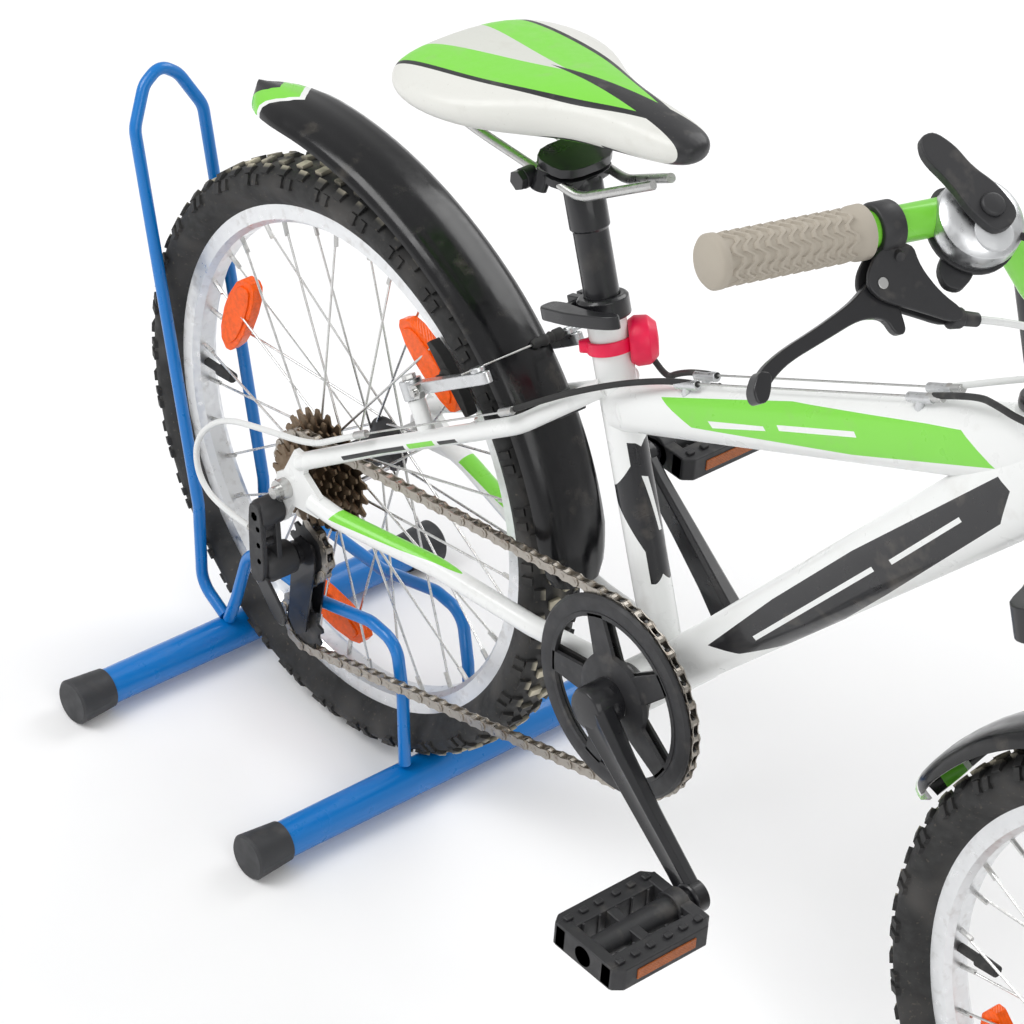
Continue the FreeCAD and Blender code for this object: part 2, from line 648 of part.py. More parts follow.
def derailleur():
    out = get("dropout_in") + get("dropout_width")
    mount = place(get("mount_x"), 0, get("mount_z"))
    swivel = GUIDE + V(-9, 0, -5)
    upper = cross_cylinder("knuckle_upper", mount, -out, -out - 22, 11)
    lower = cross_cylinder("knuckle_lower", swivel, -58, -out - 22, 14)
    link = swivel - mount
    along = basis(Y_AXIS, link)
    slab = box("knuckle_link", (mount + swivel) * 0.5 + V(0, -out - 13, 0), along,
               (link.Length, 18, 20))
    tail = box("knuckle_plate", swivel + V(16, -out - 16, -20),
               FreeCAD.Rotation(Y_AXIS, 42), (46, 6, 17))
    body = fuse("derailleur_body", upper, lower, slab, tail)
    node("derailleur_body", body)

    plates = []
    line = TENSION - GUIDE
    turned_down = basis(V(0, -1, 0), line)
    inner, outer = get("cage_half_width"), get("cage_half_width") + get("cage_plate")
    length = line.Length
    outline = ((-12, -7), (-5, -13), (8, -14), (length, -11), (length + 10, 0),
               (length, 11), (8, 14), (-5, 13), (-12, 7))
    for number, y in enumerate((LINE_Y + outer, LINE_Y - inner)):
        plates.append(plate(f"cage_plate{number}", GUIDE + V(0, y, 0), turned_down, outline,
                            "Size.cage_plate"))
    for number, centre in enumerate((GUIDE, TENSION)):
        plates.append(cross_cylinder(f"cage_pin{number}", centre, LINE_Y - outer, LINE_Y + outer,
                                     2.5))
    boss = cross_cylinder("cage_boss", swivel, LINE_Y - outer, -58 + get("side_gap"), 10)
    node("derailleur_cage", fuse("derailleur_cage", *plates, boss))
    disc = pitch_radius(int(get("pulley_teeth"))) + 2
    for name, centre in (("guide_pulley", GUIDE), ("tension_pulley", TENSION)):
        node(name, turned(name, V(centre.x, LINE_Y, centre.z), Y_AXIS, (
            ("2.5 + Size.running_gap", "-Size.cage_half_width + 0.4"),
            (6, "-Size.cage_half_width + 0.4"), (6, -1), (disc, -1), (disc, 1), (6, 1),
            (6, "Size.cage_half_width - 0.4"),
            ("2.5 + Size.running_gap", "Size.cage_half_width - 0.4"))))


# ---------------------------------------------------------------- frame

def flat_cone(name, rear, front, rear_radius, front_radius, half_width):
    """Cone along a frame tube, its two sides planed flat."""
    cone = doc.addObject("Part::Cone", name + "_cone")
    bind(cone, "Radius1", rear_radius)
    bind(cone, "Radius2", front_radius)
    cone.Height = (front - rear).Length
    cone.Placement = FreeCAD.Placement(rear, turn_to(front - rear))
    slab = box(name + "_slab", (rear + front) * 0.5, basis_along(front - rear, Y_AXIS),
               ((front - rear).Length + 20, 120, f"2 * ({half_width})"))
    common = doc.addObject("Part::Common", name + "_flat")
    common.Base, common.Tool = cone, slab
    return common


def oval_tube(name, rear, front):
    """Tapering flat-sided frame tube and its hollow, which stops short of the thick ends."""
    radii = (f"Size.{name}_rear_radius", f"Size.{name}_front_radius", f"Size.{name}_half_width")
    inset = (front - rear).normalize() * get("tube_end_solid")
    outside = flat_cone(name + "_skin", rear, front, *radii)
    inside = flat_cone(name + "_hollow", rear + inset, front - inset,
                       *(radius + " - Size.tube_wall" for radius in radii))
    return outside, inside


def frame_tubes():
    # the bottom bracket has a short lug that takes the down tube's foot
    top_rear = on_seat(get("top_tube_seat_distance"))
    top_front = on_head(get("top_tube_head_distance"))
    down_front = on_head(get("top_tube_head_distance") - get("tube_axis_gap"))
    down_way = (down_front - BRACKET).normalize()
    down_foot = BRACKET + down_way * get("bracket_lug_length")
    lug = cylinder("bracket_lug", BRACKET, down_foot, "Size.down_tube_rear_radius + 0.5")
    shell_half = get("bracket_shell_half")
    shell = cross_cylinder("shell_skin", BRACKET, -shell_half, shell_half,
                           "Size.bracket_shell_radius")
    bearing = cross_cylinder("shell_bearing", BRACKET, -shell_half - 1, shell_half + 1,
                             "Size.spindle_radius + Size.running_gap")
    node("bottom_bracket_shell",
         cut("bottom_bracket_shell", fuse("bottom_bracket_shell", shell, lug), bearing))
    shell_tool = cross_cylinder("shell_tool", BRACKET, -shell_half - 1, shell_half + 1,
                                "Size.bracket_shell_radius")

    seat_top = on_seat(get("seat_tube_length"))
    seat = cylinder("seat_tube_skin", BRACKET, seat_top, "Size.seat_tube_radius")
    seat_bore = cylinder("seat_tube_bore", BRACKET, seat_top + SEAT_UP,
                         "Size.seatpost_radius + Size.running_gap")
    node("seat_tube", cut("seat_tube", seat, seat_bore, shell_tool, copy_tool("lug_tool", lug)))
    seat_tool = cylinder("seat_tube_tool", BRACKET, seat_top + SEAT_UP, "Size.seat_tube_radius")

    head_low = on_head(get("fork_length"))
    head_high = on_head(get("fork_length") + get("head_tube_length"))
    head = cylinder("head_tube_skin", head_low, head_high, "Size.head_tube_radius")
    cups = []
    for number, start in enumerate((0, get("head_tube_length") - 12)):
        foot = on_head(get("fork_length") + start)
        cups.append(cylinder(f"headset_cup{number}", foot, foot + HEAD_UP * 12,
                             "Size.head_tube_radius + 2.5"))
    head_bore = cylinder("head_tube_bore", head_low - HEAD_UP, head_high + HEAD_UP,
                         "Size.steerer_radius + Size.running_gap")
    node("head_tube", cut("head_tube", fuse("head_tube", head, *cups), head_bore))
    head_tool = fuse("head_tool", cylinder("head_tube_tool", head_low - HEAD_UP * 30,
                                           head_high + HEAD_UP * 30, "Size.head_tube_radius"),
                     *(copy_tool(f"cup_tool{number}", cup) for number, cup in enumerate(cups)))

    top, hollow = oval_tube("top_tube", top_rear, top_front)
    rearward = (top_rear - top_front).normalize() + (down_foot - down_front).normalize()
    upward = V(-rearward.z, 0, rearward.x)
    upward = (upward if upward.z > 0 else upward * -1).normalize()
    seam = (top_front + down_front) * 0.5
    turn = basis_along(rearward, upward)
    above, below = (box(f"tube_split{way + 1}", seam + upward * (150 * way), turn,
                        (500, 100, 300)) for way in (1, -1))
    node("top_tube", cut("top_tube", top, below, seat_tool, head_tool, hollow))
    down, hollow = oval_tube("down_tube", down_foot, down_front)
    node("down_tube", cut("down_tube", down, above, copy_tool("head_tool_again", head_tool),
                          hollow))
    return shell_tool, seat_tool


def stays(shell_tool, seat_tool):
    inside, width = get("dropout_in"), get("dropout_width")
    middle_y = inside + width / 2
    neck = on_seat(222)
    for name, sign in (("right", -1), ("left", 1)):
        points = [place(x, sign * y, z) for x, y, z in
                  ((30, middle_y, 4), (58, middle_y - 2, 3), (150, 43, 5), (250, 34.5, 9))]
        points.append(V(BRACKET.x - 8, sign * 25, BRACKET.z))
        tube = rod(name + "_chain_stay", points, "Size.chain_stay_radius", 90)
        outline = [(-12, -9), (8, -12), (40, -6), (40, 12), (20, 24), (22, 40), (8, 40),
                   (-4, 14), (-12, 8)]
        if sign < 0:
            outline = [(-16, -32), (-1, -32), (8, -12)] + outline[2:]
        start_y = -inside if sign < 0 else inside + width
        dropout = plate(name + "_dropout", REAR + V(0, start_y, 0), SIDE_PLANE, outline,
                        "Size.dropout_width")
        slot = cross_cylinder(name + "_axle_hole", REAR, sign * (inside - 10),
                              sign * (inside + width + 10), "Size.axle_radius")
        node(name + "_chain_stay",
             cut(name + "_chain_stay", fuse(name + "_chain_stay", tube, dropout), slot,
                 shell_tool))
        dropout_tool = copy_tool(name + "_dropout_tool", dropout)

        points = [place(12, sign * middle_y, 30), place(90, sign * 50, 83.5),
                  place(225, sign * 40, 176), V(neck.x, sign * 12, neck.z)]
        tube = rod(name + "_seat_stay", points, "Size.seat_stay_radius", 60)
        things = [tube]
        post = place(134, sign * 43.6, 113.6)
        normal = brake_normal()
        things.append(cylinder(name + "_brake_boss", post, post + normal
                               * get("brake_post_length"), 6.5))
        things.append(cylinder(name + "_brake_post", post,
                               post + normal * (get("brake_post_length") + 15),
                               "Size.brake_post_radius"))
        if sign > 0:
            bridge = place(236, 0, 186)
            things.append(cross_cylinder("brake_bridge", bridge, -38, 38, "Size.bridge_radius"))
        tools = [dropout_tool, seat_tool]
        stay = fuse(name + "_seat_stay", *things)
        if sign > 0:
            tools.append(copy_tool("right_stay_tool", right_stay))
        else:
            right_stay = stay
        node(name + "_seat_stay", cut(name + "_seat_stay", stay, *tools))


def brake_normal():
    """Direction out of the back of the seat stays, square to them in the side view."""
    along = (place(225, 0, 176) - place(90, 0, 83.5)).normalize()
    return V(-along.z, 0, along.x)


# ---------------------------------------------------------------- fork

def fork():
    length, crown = get("fork_length"), get("crown_thickness")
    crown_low = length - crown - 2
    spread, offset = get("fork_leg_spread"), get("fork_leg_offset")
    steerer_top = length + get("head_tube_length") + 8
    things = [cylinder("steerer", on_head(crown_low + 4), on_head(steerer_top),
                       "Size.steerer_radius")]
    across = basis(HEAD_UP, Y_AXIS)
    things.append(box("crown", on_head(crown_low + crown / 2, offset / 2), across,
                      (2 * spread + 34, offset + 34, crown)))
    for sign in (-1, 1):
        things.append(cylinder(f"stanchion{sign + 1}", on_head(120, offset, sign * spread),
                               on_head(crown_low + 4, offset, sign * spread),
                               "Size.stanchion_radius"))
    things.append(turned("headset_nut", on_head(length + get("head_tube_length") + 1), HEAD_UP,
                     ((0, 0), ("Size.head_tube_radius", 0),
                      ("Size.head_tube_radius - 2", 9), (0, 9))))
    node("fork_crown", fuse("fork_crown", *things))

    legs = []
    top = get("lower_leg_top")
    for sign in (-1, 1):
        legs.append(cylinder(f"lower_leg{sign + 1}", on_head(14, offset, sign * spread),
                             on_head(top, offset, sign * spread), "Size.lower_leg_radius"))
        foot = on_head(4, (offset + get("fork_offset")) / 2, sign * spread)
        legs.append(box(f"fork_dropout{sign + 1}", foot, across,
                        (8, get("fork_offset") - offset + 26, 30)))
        post = on_head(178, offset, sign * 44)
        legs.append(cylinder(f"front_boss{sign + 1}", post,
                             post + HEAD_FORE * (get("brake_post_length")), 6.5))
        legs.append(cylinder(f"front_post{sign + 1}", post,
                             post + HEAD_FORE * (get("brake_post_length") + 15),
                             "Size.brake_post_radius"))
    arch_points = [on_head(top - 12, offset, -spread), on_head(top + 22, offset + 4, -spread + 12),
                   on_head(top + 22, offset + 4, spread - 12), on_head(top - 12, offset, spread)]
    legs.append(rod("fork_arch", arch_points, 8, 30))
    bores = [cylinder(f"leg_bore{sign + 1}", on_head(84, offset, sign * spread),
                      on_head(top + 60, offset, sign * spread),
                      "Size.stanchion_radius + Size.running_gap") for sign in (-1, 1)]
    axle_hole = cross_cylinder("fork_axle_hole", FRONT, -spread - 12, spread + 12,
                               "Size.axle_radius")
    node("fork_lowers", cut("fork_lowers", fuse("fork_lowers", *legs), *bores, axle_hole))
    inner, outer = spread - 4, spread + 4
    cones = ((get("front_flange") + 3 + get("side_gap"), inner),
             (get("front_flange") + 5 + get("side_gap"), inner))
    axle("front_axle", FRONT, get("front_axle_half"), outer, cones)


# ---------------------------------------------------------------- brakes

def brake_arm(name, wheel_centre, post, along, normal, sign):
    """One arm of a linear-pull brake, with its bush, shoe and pad beside the rim."""
    gap = get("side_gap")
    start = post + normal * (get("brake_post_length") + gap)
    depth = 14
    middle = start + normal * (depth / 2)
    bush = cylinder(name + "_bush", start, start + normal * depth, "Size.brake_bush_radius")
    length = get("brake_arm_length")
    arm = box(name + "_arm", middle + along * (length / 2), basis(normal, along),
              (length, "Size.brake_arm_thickness", "2 * Size.brake_arm_half_width"))
    inner = get("rim_half_width") + get("pad_gap")
    radial = middle + along * get("pad_rise") - wheel_centre
    radial = V(radial.x, 0, radial.z).normalize()
    pad_middle = wheel_centre + radial * (get("rim_radius") - 8)
    pad_middle.y = sign * (inner + get("pad_thickness") / 2)
    pad = box(name + "_pad", pad_middle, basis(radial, radial.cross(Y_AXIS)),
              ("Size.pad_length", "Size.pad_thickness", "2 * Size.pad_half_height"))
    stud = cross_cylinder(name + "_stud", pad_middle, pad_middle.y, middle.y + sign * 8, 3)
    hole = cylinder(name + "_hole", start - normal, start + normal * (depth + 1),
                    "Size.brake_post_radius + Size.running_gap")
    node(name, cut(name, fuse(name, bush, arm, pad, stud), hole))


def brakes():
    along = (place(225, 0, 176) - place(90, 0, 83.5)).normalize()
    for side, sign in (("right", -1), ("left", 1)):
        brake_arm(f"rear_brake_arm_{side}", REAR, place(134, sign * 43.6, 113.6), along,
                  brake_normal(), sign)
        brake_arm(f"front_brake_arm_{side}", FRONT,
                  on_head(178, get("fork_leg_offset"), sign * 44), HEAD_UP, HEAD_FORE, sign)


# ---------------------------------------------------------------- cockpit

def bar_out(sign):
    """Unit vector along the outer part of the handlebar, towards its end on one side."""
    sweep, rise = math.radians(get("back_sweep")), math.radians(get("up_sweep"))
    return V(-math.sin(sweep) * math.cos(rise), sign * math.cos(sweep) * math.cos(rise),
             math.sin(rise))


def bar_end(sign):
    return place(get("bar_end_x"), sign * get("bar_half_width"), get("bar_end_z"))


def on_bar(sign, inboard):
    return bar_end(sign) - bar_out(sign) * inboard


def cockpit():
    bend = on_bar(-1, 192)
    centre = V(bend.x + 13, 0, bend.z - get("bar_rise"))
    points = [bar_end(-1), bend, V(centre.x, -42, centre.z), V(centre.x, 42, centre.z),
              on_bar(1, 192), bar_end(1)]
    bar = rod("handlebar", points, "Size.bar_radius", get("bar_bend"))
    node("handlebar", bar)

    stem_foot = on_head(get("fork_length") + get("head_tube_length") + 10)
    stem_top = stem_foot + HEAD_UP * get("stem_height")
    half = get("stem_clamp_half")
    things = [cylinder("stem_quill", stem_foot, stem_top, "Size.stem_radius"),
              cylinder("stem_arm", stem_top - HEAD_UP * 8, centre, "Size.stem_radius"),
              cross_cylinder("stem_clamp", centre, -half, half, "Size.stem_clamp_radius")]
    hole = cross_cylinder("stem_hole", centre, -half - 1, half + 1, "Size.bar_radius")
    node("stem", cut("stem", fuse("stem", *things), hole))

    grips, clamps = [], []
    for sign in (-1, 1):
        out = bar_out(sign)
        grips.append(turned(f"grip{sign + 1}", bar_end(sign) + out * 3, V(0, 0, 0) - out, (
            (0, 0), ("Size.grip_radius - 1.5", 0), ("Size.grip_radius", 3),
            ("Size.grip_radius", "Size.grip_length - 4"),
            ("Size.grip_radius + 1", "Size.grip_length - 2"),
            ("Size.grip_radius + 1", "Size.grip_length + 3"),
            ("Size.bar_radius", "Size.grip_length + 3"), ("Size.bar_radius", 3), (0, 3))))
        clamps.append(lever_clamp(sign))
    node("grips", group("grips", *grips))
    node("lever_clamps", group("lever_clamps", *clamps))
    for name, sign in (("right_brake_lever", -1), ("left_brake_lever", 1)):
        brake_lever(name, sign)
    shifter()


def lever_frame(sign):
    """Origin on the bar, and the outward, drop and pin directions of a brake lever."""
    out = bar_out(sign)
    level = V(0, 0, 1).cross(out) * sign
    level = level.normalize() if level.x > 0 else (level * -1).normalize()
    down = level.cross(out).normalize()
    down = down if down.z < 0 else down * -1
    angle = math.radians(get("lever_drop_angle"))
    drop = level * math.cos(angle) + down * math.sin(angle)
    return on_bar(sign, get("grip_length") + 14), out, drop, out.cross(drop)


def lever_plane(sign, shift):
    """Placement of a plate whose x is outward and y is the drop, centred on the plane."""
    origin, out, drop, pin = lever_frame(sign)
    return origin - pin * shift, FreeCAD.Rotation(out, drop, pin, "ZXY")


LEVER_PIVOT = (13, 31)


def lever_clamp(sign):
    """Split ring on the bar and the forked housing that holds the lever and the adjuster."""
    origin, out, drop, pin = lever_frame(sign)
    name = f"lever_clamp{sign + 1}"
    ring = cylinder(name + "_ring", origin - out * 7, origin + out * 7, "Size.bar_radius + 4")
    ear = get("lever_thickness") / 2 + get("side_gap")
    thick = 3.5
    outline = ((-10, 12), (8, 12), (20, 24), (20, 36), (8, 40), (-30, 58), (-34, 52), (-14, 34))
    things = [ring]
    for number, level in enumerate((-ear - thick, ear)):
        foot, turn = lever_plane(sign, -level)
        things.append(plate(f"{name}_ear{number}", foot, turn, outline, thick))
    foot, turn = lever_plane(sign, ear)
    things.append(plate(name + "_web", foot, turn,
                        ((-10, 12), (-2, 12), (-10, 32), (-20, 40), (-30, 58), (-34, 52),
                         (-14, 34)), 2 * ear))
    adjuster = origin - out * 30 + drop * 55
    things.append(cylinder(name + "_adjuster", adjuster, adjuster - out * 20 + drop * 9, 5))
    pivot = origin + out * LEVER_PIVOT[0] + drop * LEVER_PIVOT[1]
    things.append(cylinder(name + "_pin", pivot - pin * (ear + thick), pivot + pin * (ear + thick),
                           "Size.lever_pin_radius"))
    bore = cylinder(name + "_bore", origin - out * 9, origin + out * 9, "Size.bar_radius")
    return cut(name, fuse(name, *things), bore)


def brake_lever(name, sign):
    """Two-finger lever blade: pivot eye, dog-leg and hooked tip."""
    half = get("lever_thickness") / 2
    foot, turn = lever_plane(sign, half)
    outline = ((6, 27), (14, 24), (21, 30), (50, 45), (94, 59), (103, 66), (109, 78),
               (103, 80), (97, 71), (90, 66), (54, 54), (24, 46), (8, 60), (1, 60), (4, 44),
               (5, 34))
    blade = plate(name, foot, turn, outline, "Size.lever_thickness")
    origin, out, drop, pin = lever_frame(sign)
    pivot = origin + out * LEVER_PIVOT[0] + drop * LEVER_PIVOT[1]
    hole = cylinder(name + "_hole", pivot - pin * 12, pivot + pin * 12,
                    "Size.lever_pin_radius + Size.running_gap")
    node(name, cut(name, blade, hole))


SHIFTER_AXIS = V(0.52, -0.15, 0.84).normalize()


def shifter():
    """Thumb shifter: a round pod in front of the bar and its thumb lever on top."""
    centre = on_bar(-1, 168) + V(16, 0, 2)
    base = centre - SHIFTER_AXIS * 12
    top = centre + SHIFTER_AXIS * (get("shifter_height") - 12)
    pod = cylinder("shifter_case", base, top, "Size.shifter_radius")
    ring = cylinder("shifter_ring", on_bar(-1, 158), on_bar(-1, 176), "Size.bar_radius + 4")
    bore = cylinder("shifter_bore", on_bar(-1, 110), on_bar(-1, 191), "Size.bar_radius")
    outlet = cylinder("shifter_outlet", centre, centre + V(34, 22, -4), 5)
    node("shifter_pod", cut("shifter_pod", fuse("shifter_pod", pod, ring, outlet), bore))
    foot = top + SHIFTER_AXIS * get("side_gap")
    turn = basis(SHIFTER_AXIS, V(-0.82, -0.21, 0.53))
    blade = ((-8, -10), (8, -11), (26, -9), (48, -8), (54, 0), (48, 8), (26, 9), (8, 11),
             (-8, 10), (-12, 0))
    node("thumb_lever", plate("thumb_lever", foot, turn, blade, 7))


# ---------------------------------------------------------------- saddle

def saddle():
    top = get("post_head_distance")
    low = get("seat_tube_length") - 96
    post = cylinder("post_tube", on_seat(low), on_seat(top), "Size.seatpost_radius")
    neck = cylinder("post_neck", on_seat(top - 38), on_seat(top - 8), "Size.seatpost_radius + 1.5")
    clamp = on_seat(top - 12)
    rail_z = clamp.z + 7
    level = FreeCAD.Rotation()
    block = box("post_clamp", V(clamp.x - 10, 0, rail_z), level, (34, 52, 20))
    bolt = cross_cylinder("clamp_bolt", V(clamp.x - 24, 0, rail_z - 6), -34, 34, 6)
    spread = get("rail_spread")
    rear_x = get("saddle_rear_x") - CENTRE_X
    rails, bores = [], []
    for sign in (-1, 1):
        points = [V(rear_x + 34, sign * 34, rail_z + 14), V(rear_x + 70, sign * spread, rail_z),
                  V(rear_x + 172, sign * spread, rail_z),
                  V(rear_x + get("saddle_length") - 34, sign * 8, rail_z + 34)]
        rails.append(rod(f"saddle_rail{sign + 1}", points, "Size.rail_radius", 30))
        bores.append(copy_tool(f"saddle_rail_tool{sign + 1}", rails[-1]))
    node("saddle_rails", group("saddle_rails", *rails))
    node("seatpost", cut("seatpost", fuse("seatpost", post, neck, block, bolt), *bores))

    # the pad is a plain closed form; the rails end inside its under side, in its sockets
    base = V(rear_x, 0, place(0, 0, get("saddle_rear_z")).z)
    length, wide, rise = get("saddle_length"), get("saddle_half_width"), get("saddle_rise")
    sections = []
    for share, width, deep, drop in ((0.0, 0.50, 9, 0), (0.07, 0.86, 19, -1), (0.22, 1.0, 25, -2),
                                     (0.40, 0.83, 27, 0), (0.58, 0.50, 25, 1), (0.76, 0.32, 20, 0),
                                     (0.93, 0.25, 14, 0), (1.0, 0.13, 8, -2)):
        centre = base + V(share * length, 0, share * rise + drop)
        sections.append((centre, V(1, 0, 0.1), Y_AXIS, width * wide, float(deep)))
    pad = loft("saddle_pad", sections, ruled=False)
    slot = group("saddle_slots", *(rod(f"saddle_slot{sign + 1}", [
        V(rear_x + 34, sign * 34, rail_z + 14), V(rear_x + 70, sign * spread, rail_z),
        V(rear_x + 172, sign * spread, rail_z),
        V(rear_x + length - 34, sign * 8, rail_z + 34)], "Size.rail_radius", 30)
        for sign in (-1, 1)))
    under = box("saddle_under", V(rear_x + length / 2, 0, rail_z - 8),
                FreeCAD.Rotation(Y_AXIS, -math.degrees(math.atan(rise / length))),
                (length + 40, 3 * wide, 40))
    node("saddle_pad", cut("saddle_pad", pad, under, slot))

    height, wall = get("collar_height"), get("collar_wall")
    collar_low = on_seat(get("seat_tube_length") - height + 3)
    out = get("seat_tube_radius")
    ring = cylinder("collar_ring", collar_low, collar_low + SEAT_UP * height, out + wall)
    back = Y_AXIS.cross(SEAT_UP)
    back = back if back.x < 0 else back * -1
    ear = box("collar_ear", collar_low + SEAT_UP * (height / 2) + back * (out + 8),
              basis(SEAT_UP, Y_AXIS), (22, 16, 13))
    ring_bore = cylinder("collar_bore", collar_low - SEAT_UP,
                         collar_low + SEAT_UP * (height - 3), "Size.seat_tube_radius")
    post_bore = cylinder("collar_post_bore", collar_low, collar_low + SEAT_UP * (height + 1),
                         "Size.seatpost_radius + Size.running_gap")
    bolt = collar_low + SEAT_UP * (height / 2) + back * (out + 10)
    pivot = bolt - Y_AXIS * (out + wall + 7)
    pin = cylinder("collar_pin", bolt + Y_AXIS * 17, pivot + Y_AXIS * 7.5, 3)
    clamp = fuse("seat_collar", ring, ear, pin)
    node("seat_collar", cut("seat_collar", clamp, ring_bore, post_bore))
    forward = back * -1
    across = FreeCAD.Rotation(forward, SEAT_UP.cross(forward), SEAT_UP, "ZXY")
    blade = ((-4, -5), (7, -6), (30, -6), (58, -1), (62, 4), (56, 5), (30, -1), (12, 6), (-4, 5))
    hub = cylinder("seat_lever_hub", pivot - SEAT_UP * 6.5, pivot + SEAT_UP * 6.5, 7)
    flat = plate("seat_lever", pivot - SEAT_UP * 5.5, across, blade, 11)
    node("seat_lever", fuse("seat_lever", hub, flat))

    lamp = on_seat(get("seat_tube_length") - 34)
    lamp_way = V(0.55, 0.80, 0.2).normalize()
    shell = turned("lamp", lamp + lamp_way * (out - 2), lamp_way,
                   ((0, 0), (13, 0), (16, 6), (15, 14), (9, 20), (0, 22)))
    strap = cylinder("lamp_strap", lamp - SEAT_UP * 4, lamp + SEAT_UP * 4, out + 2.2)
    hole = cylinder("lamp_hole", lamp - SEAT_UP * 30, lamp + SEAT_UP * 30,
                    "Size.seat_tube_radius")
    node("seat_tube_light", cut("seat_tube_light", fuse("seat_tube_light", shell, strap), hole))


# ---------------------------------------------------------------- mudguards

def arch_section(name, centre, radius, angle):
    """Half-hoop section of a mudguard, standing on a radius of the wheel."""
    half, wall, deep = get("guard_half_width"), get("mudguard_wall"), get("mudguard_depth")
    out = side_view(angle)
    outer = ((-half, 0), (-half * 0.86, deep * 0.62), (-half * 0.45, deep), (half * 0.45, deep),
             (half * 0.86, deep * 0.62), (half, 0))
    inner = [(y * (1 - wall / half), max(0.0, r - wall)) for y, r in outer]
    corners = list(outer) + inner[::-1]
    section = doc.addObject("Part::Polygon", name + "_section")
    section.Nodes = [centre + out * (radius + r) + V(0, y, 0) for y, r in corners]
    section.Close = True
    return section


def arc_edge(centre, radius, start, end):
    points = [centre + side_view(angle) * radius for angle in (start, (start + end) / 2, end)]
    return Part.Arc(*points).toShape()


def mudguards():
    radius, tail = get("rear_mudguard_radius"), get("rear_mudguard_tail_radius")
    start, bend = get("rear_mudguard_start"), get("rear_mudguard_bend")
    tail_centre = REAR - side_view(bend) * (tail - radius)
    wire = Part.Wire([arc_edge(REAR, radius, start, bend),
                      arc_edge(tail_centre, tail, bend, bend + get("rear_mudguard_sweep"))])
    guard = swept("rear_mudguard", wire, arch_section("rear_mudguard", REAR, radius, start))
    crown = radius + get("mudguard_depth")
    bridge = place(236, 0, 186)
    to_bridge = (bridge - REAR).normalize()
    bracket = cylinder("mudguard_bracket", REAR + to_bridge * (crown - 1.5),
                       bridge - to_bridge * (get("bridge_radius") - 1), 5)
    bridge_tool = cross_cylinder("bridge_tool", bridge, -20, 20, "Size.bridge_radius")
    node("rear_mudguard", cut("rear_mudguard", fuse("rear_mudguard", guard, bracket),
                              bridge_tool))
    radius = get("front_mudguard_radius")
    wire = Part.Wire([arc_edge(FRONT, radius, get("front_mudguard_start"),
                               get("front_mudguard_end"))])
    section = arch_section("front_mudguard", FRONT, radius, get("front_mudguard_start"))
    node("front_mudguard", swept("front_mudguard", wire, section))


# ---------------------------------------------------------------- cables

def cables():
    """Outer casings, and the bare runs along the top tube, in round numbers of millimetres."""
    lever_r = lever_frame(-1)
    lever_l = lever_frame(1)
    starts = []
    for origin, out, drop, pin in (lever_r, lever_l):
        end = origin - out * 52 + drop * 64
        starts.append((end, end - out * 28 + drop * 6))
    pod = on_bar(-1, 168) + V(16, 0, 2)
    shift = [pod + V(36.5, 23.4, -4.3), pod + V(58, 38, -10)]
    shift += [place(*point) for point in
              ((744, -50, 560), (740, -44, 500), (708, -37, 440), (664, -36, 430),
               (640, -29, 424), (612, -16, 410), (566, -8, 384), (346, -8, 271),
               (306, -20, 250), (268, -30, 225), (240, -40, 204), (222, -50, 190),
               (78, -62, 92), (30, -70, 58), (-20, -76, 46), (-70, -79, 30),
               (-98, -82, -4), (-92, -84, -36), (-62, -84, -50), (-16.6, -84, -44))]
    brake = list(starts[0])
    brake += [place(*point) for point in
              ((762, -50, 532), (764, -4, 490), (738, 30, 442), (690, 39, 428), (648, 36, 424),
               (618, 20, 413), (566, 8, 384), (346, 8, 271), (322, 15, 253), (300, 28, 232), (270, 42, 226),
               (238, 50, 230), (206, 47, 224))]
    pair = [rod("shift_cable", shift, "Size.cable_radius", 60),
            rod("rear_brake_cable", brake, "Size.cable_radius", 60)]
    node("frame_cables", group("frame_cables", *pair))
    end = on_head(282, 62, -44)
    front = list(starts[1]) + [place(770, 66, 520), place(790, 40, 450), place(796, 8, 380),
                               place(790, -22, 326), place(779, -40, 294), end]
    node("front_brake_cable", rod("front_brake_cable", front, "Size.cable_radius", 60))


# ---------------------------------------------------------------- build and write

stand()
wheels()
freewheel()
crankset()
pedals()
chain()
derailleur()
stays(*frame_tubes())
fork()
brakes()
cockpit()
saddle()
mudguards()
cables()

doc.recompute()
faults = []
for thing in doc.Objects:
    if "Invalid" in thing.State or "Error" in thing.State:
        faults.append(f"{thing.Name}: {thing.State}")
for thing in NODES:
    if thing.Shape.isNull() or not thing.Shape.isValid() or not thing.Shape.Solids:
        faults.append(f"{thing.Label}: shape is null, invalid or not solid")
if faults:
    raise RuntimeError("; ".join(faults))

os.makedirs("parts", exist_ok=True)
for thing in NODES:
    thing.Shape.exportStep(f"parts/{thing.Label}.step")
print(len(NODES), "pieces written")
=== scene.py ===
"""Looks for a child's mountain bicycle that stands in a tubular rear-wheel stand.

Shapes are made in millimetres from the rear axle: x forward, y to the rider's left, z up.
"""
import json
import math

import bmesh
import bpy
from mathutils import Matrix, Vector


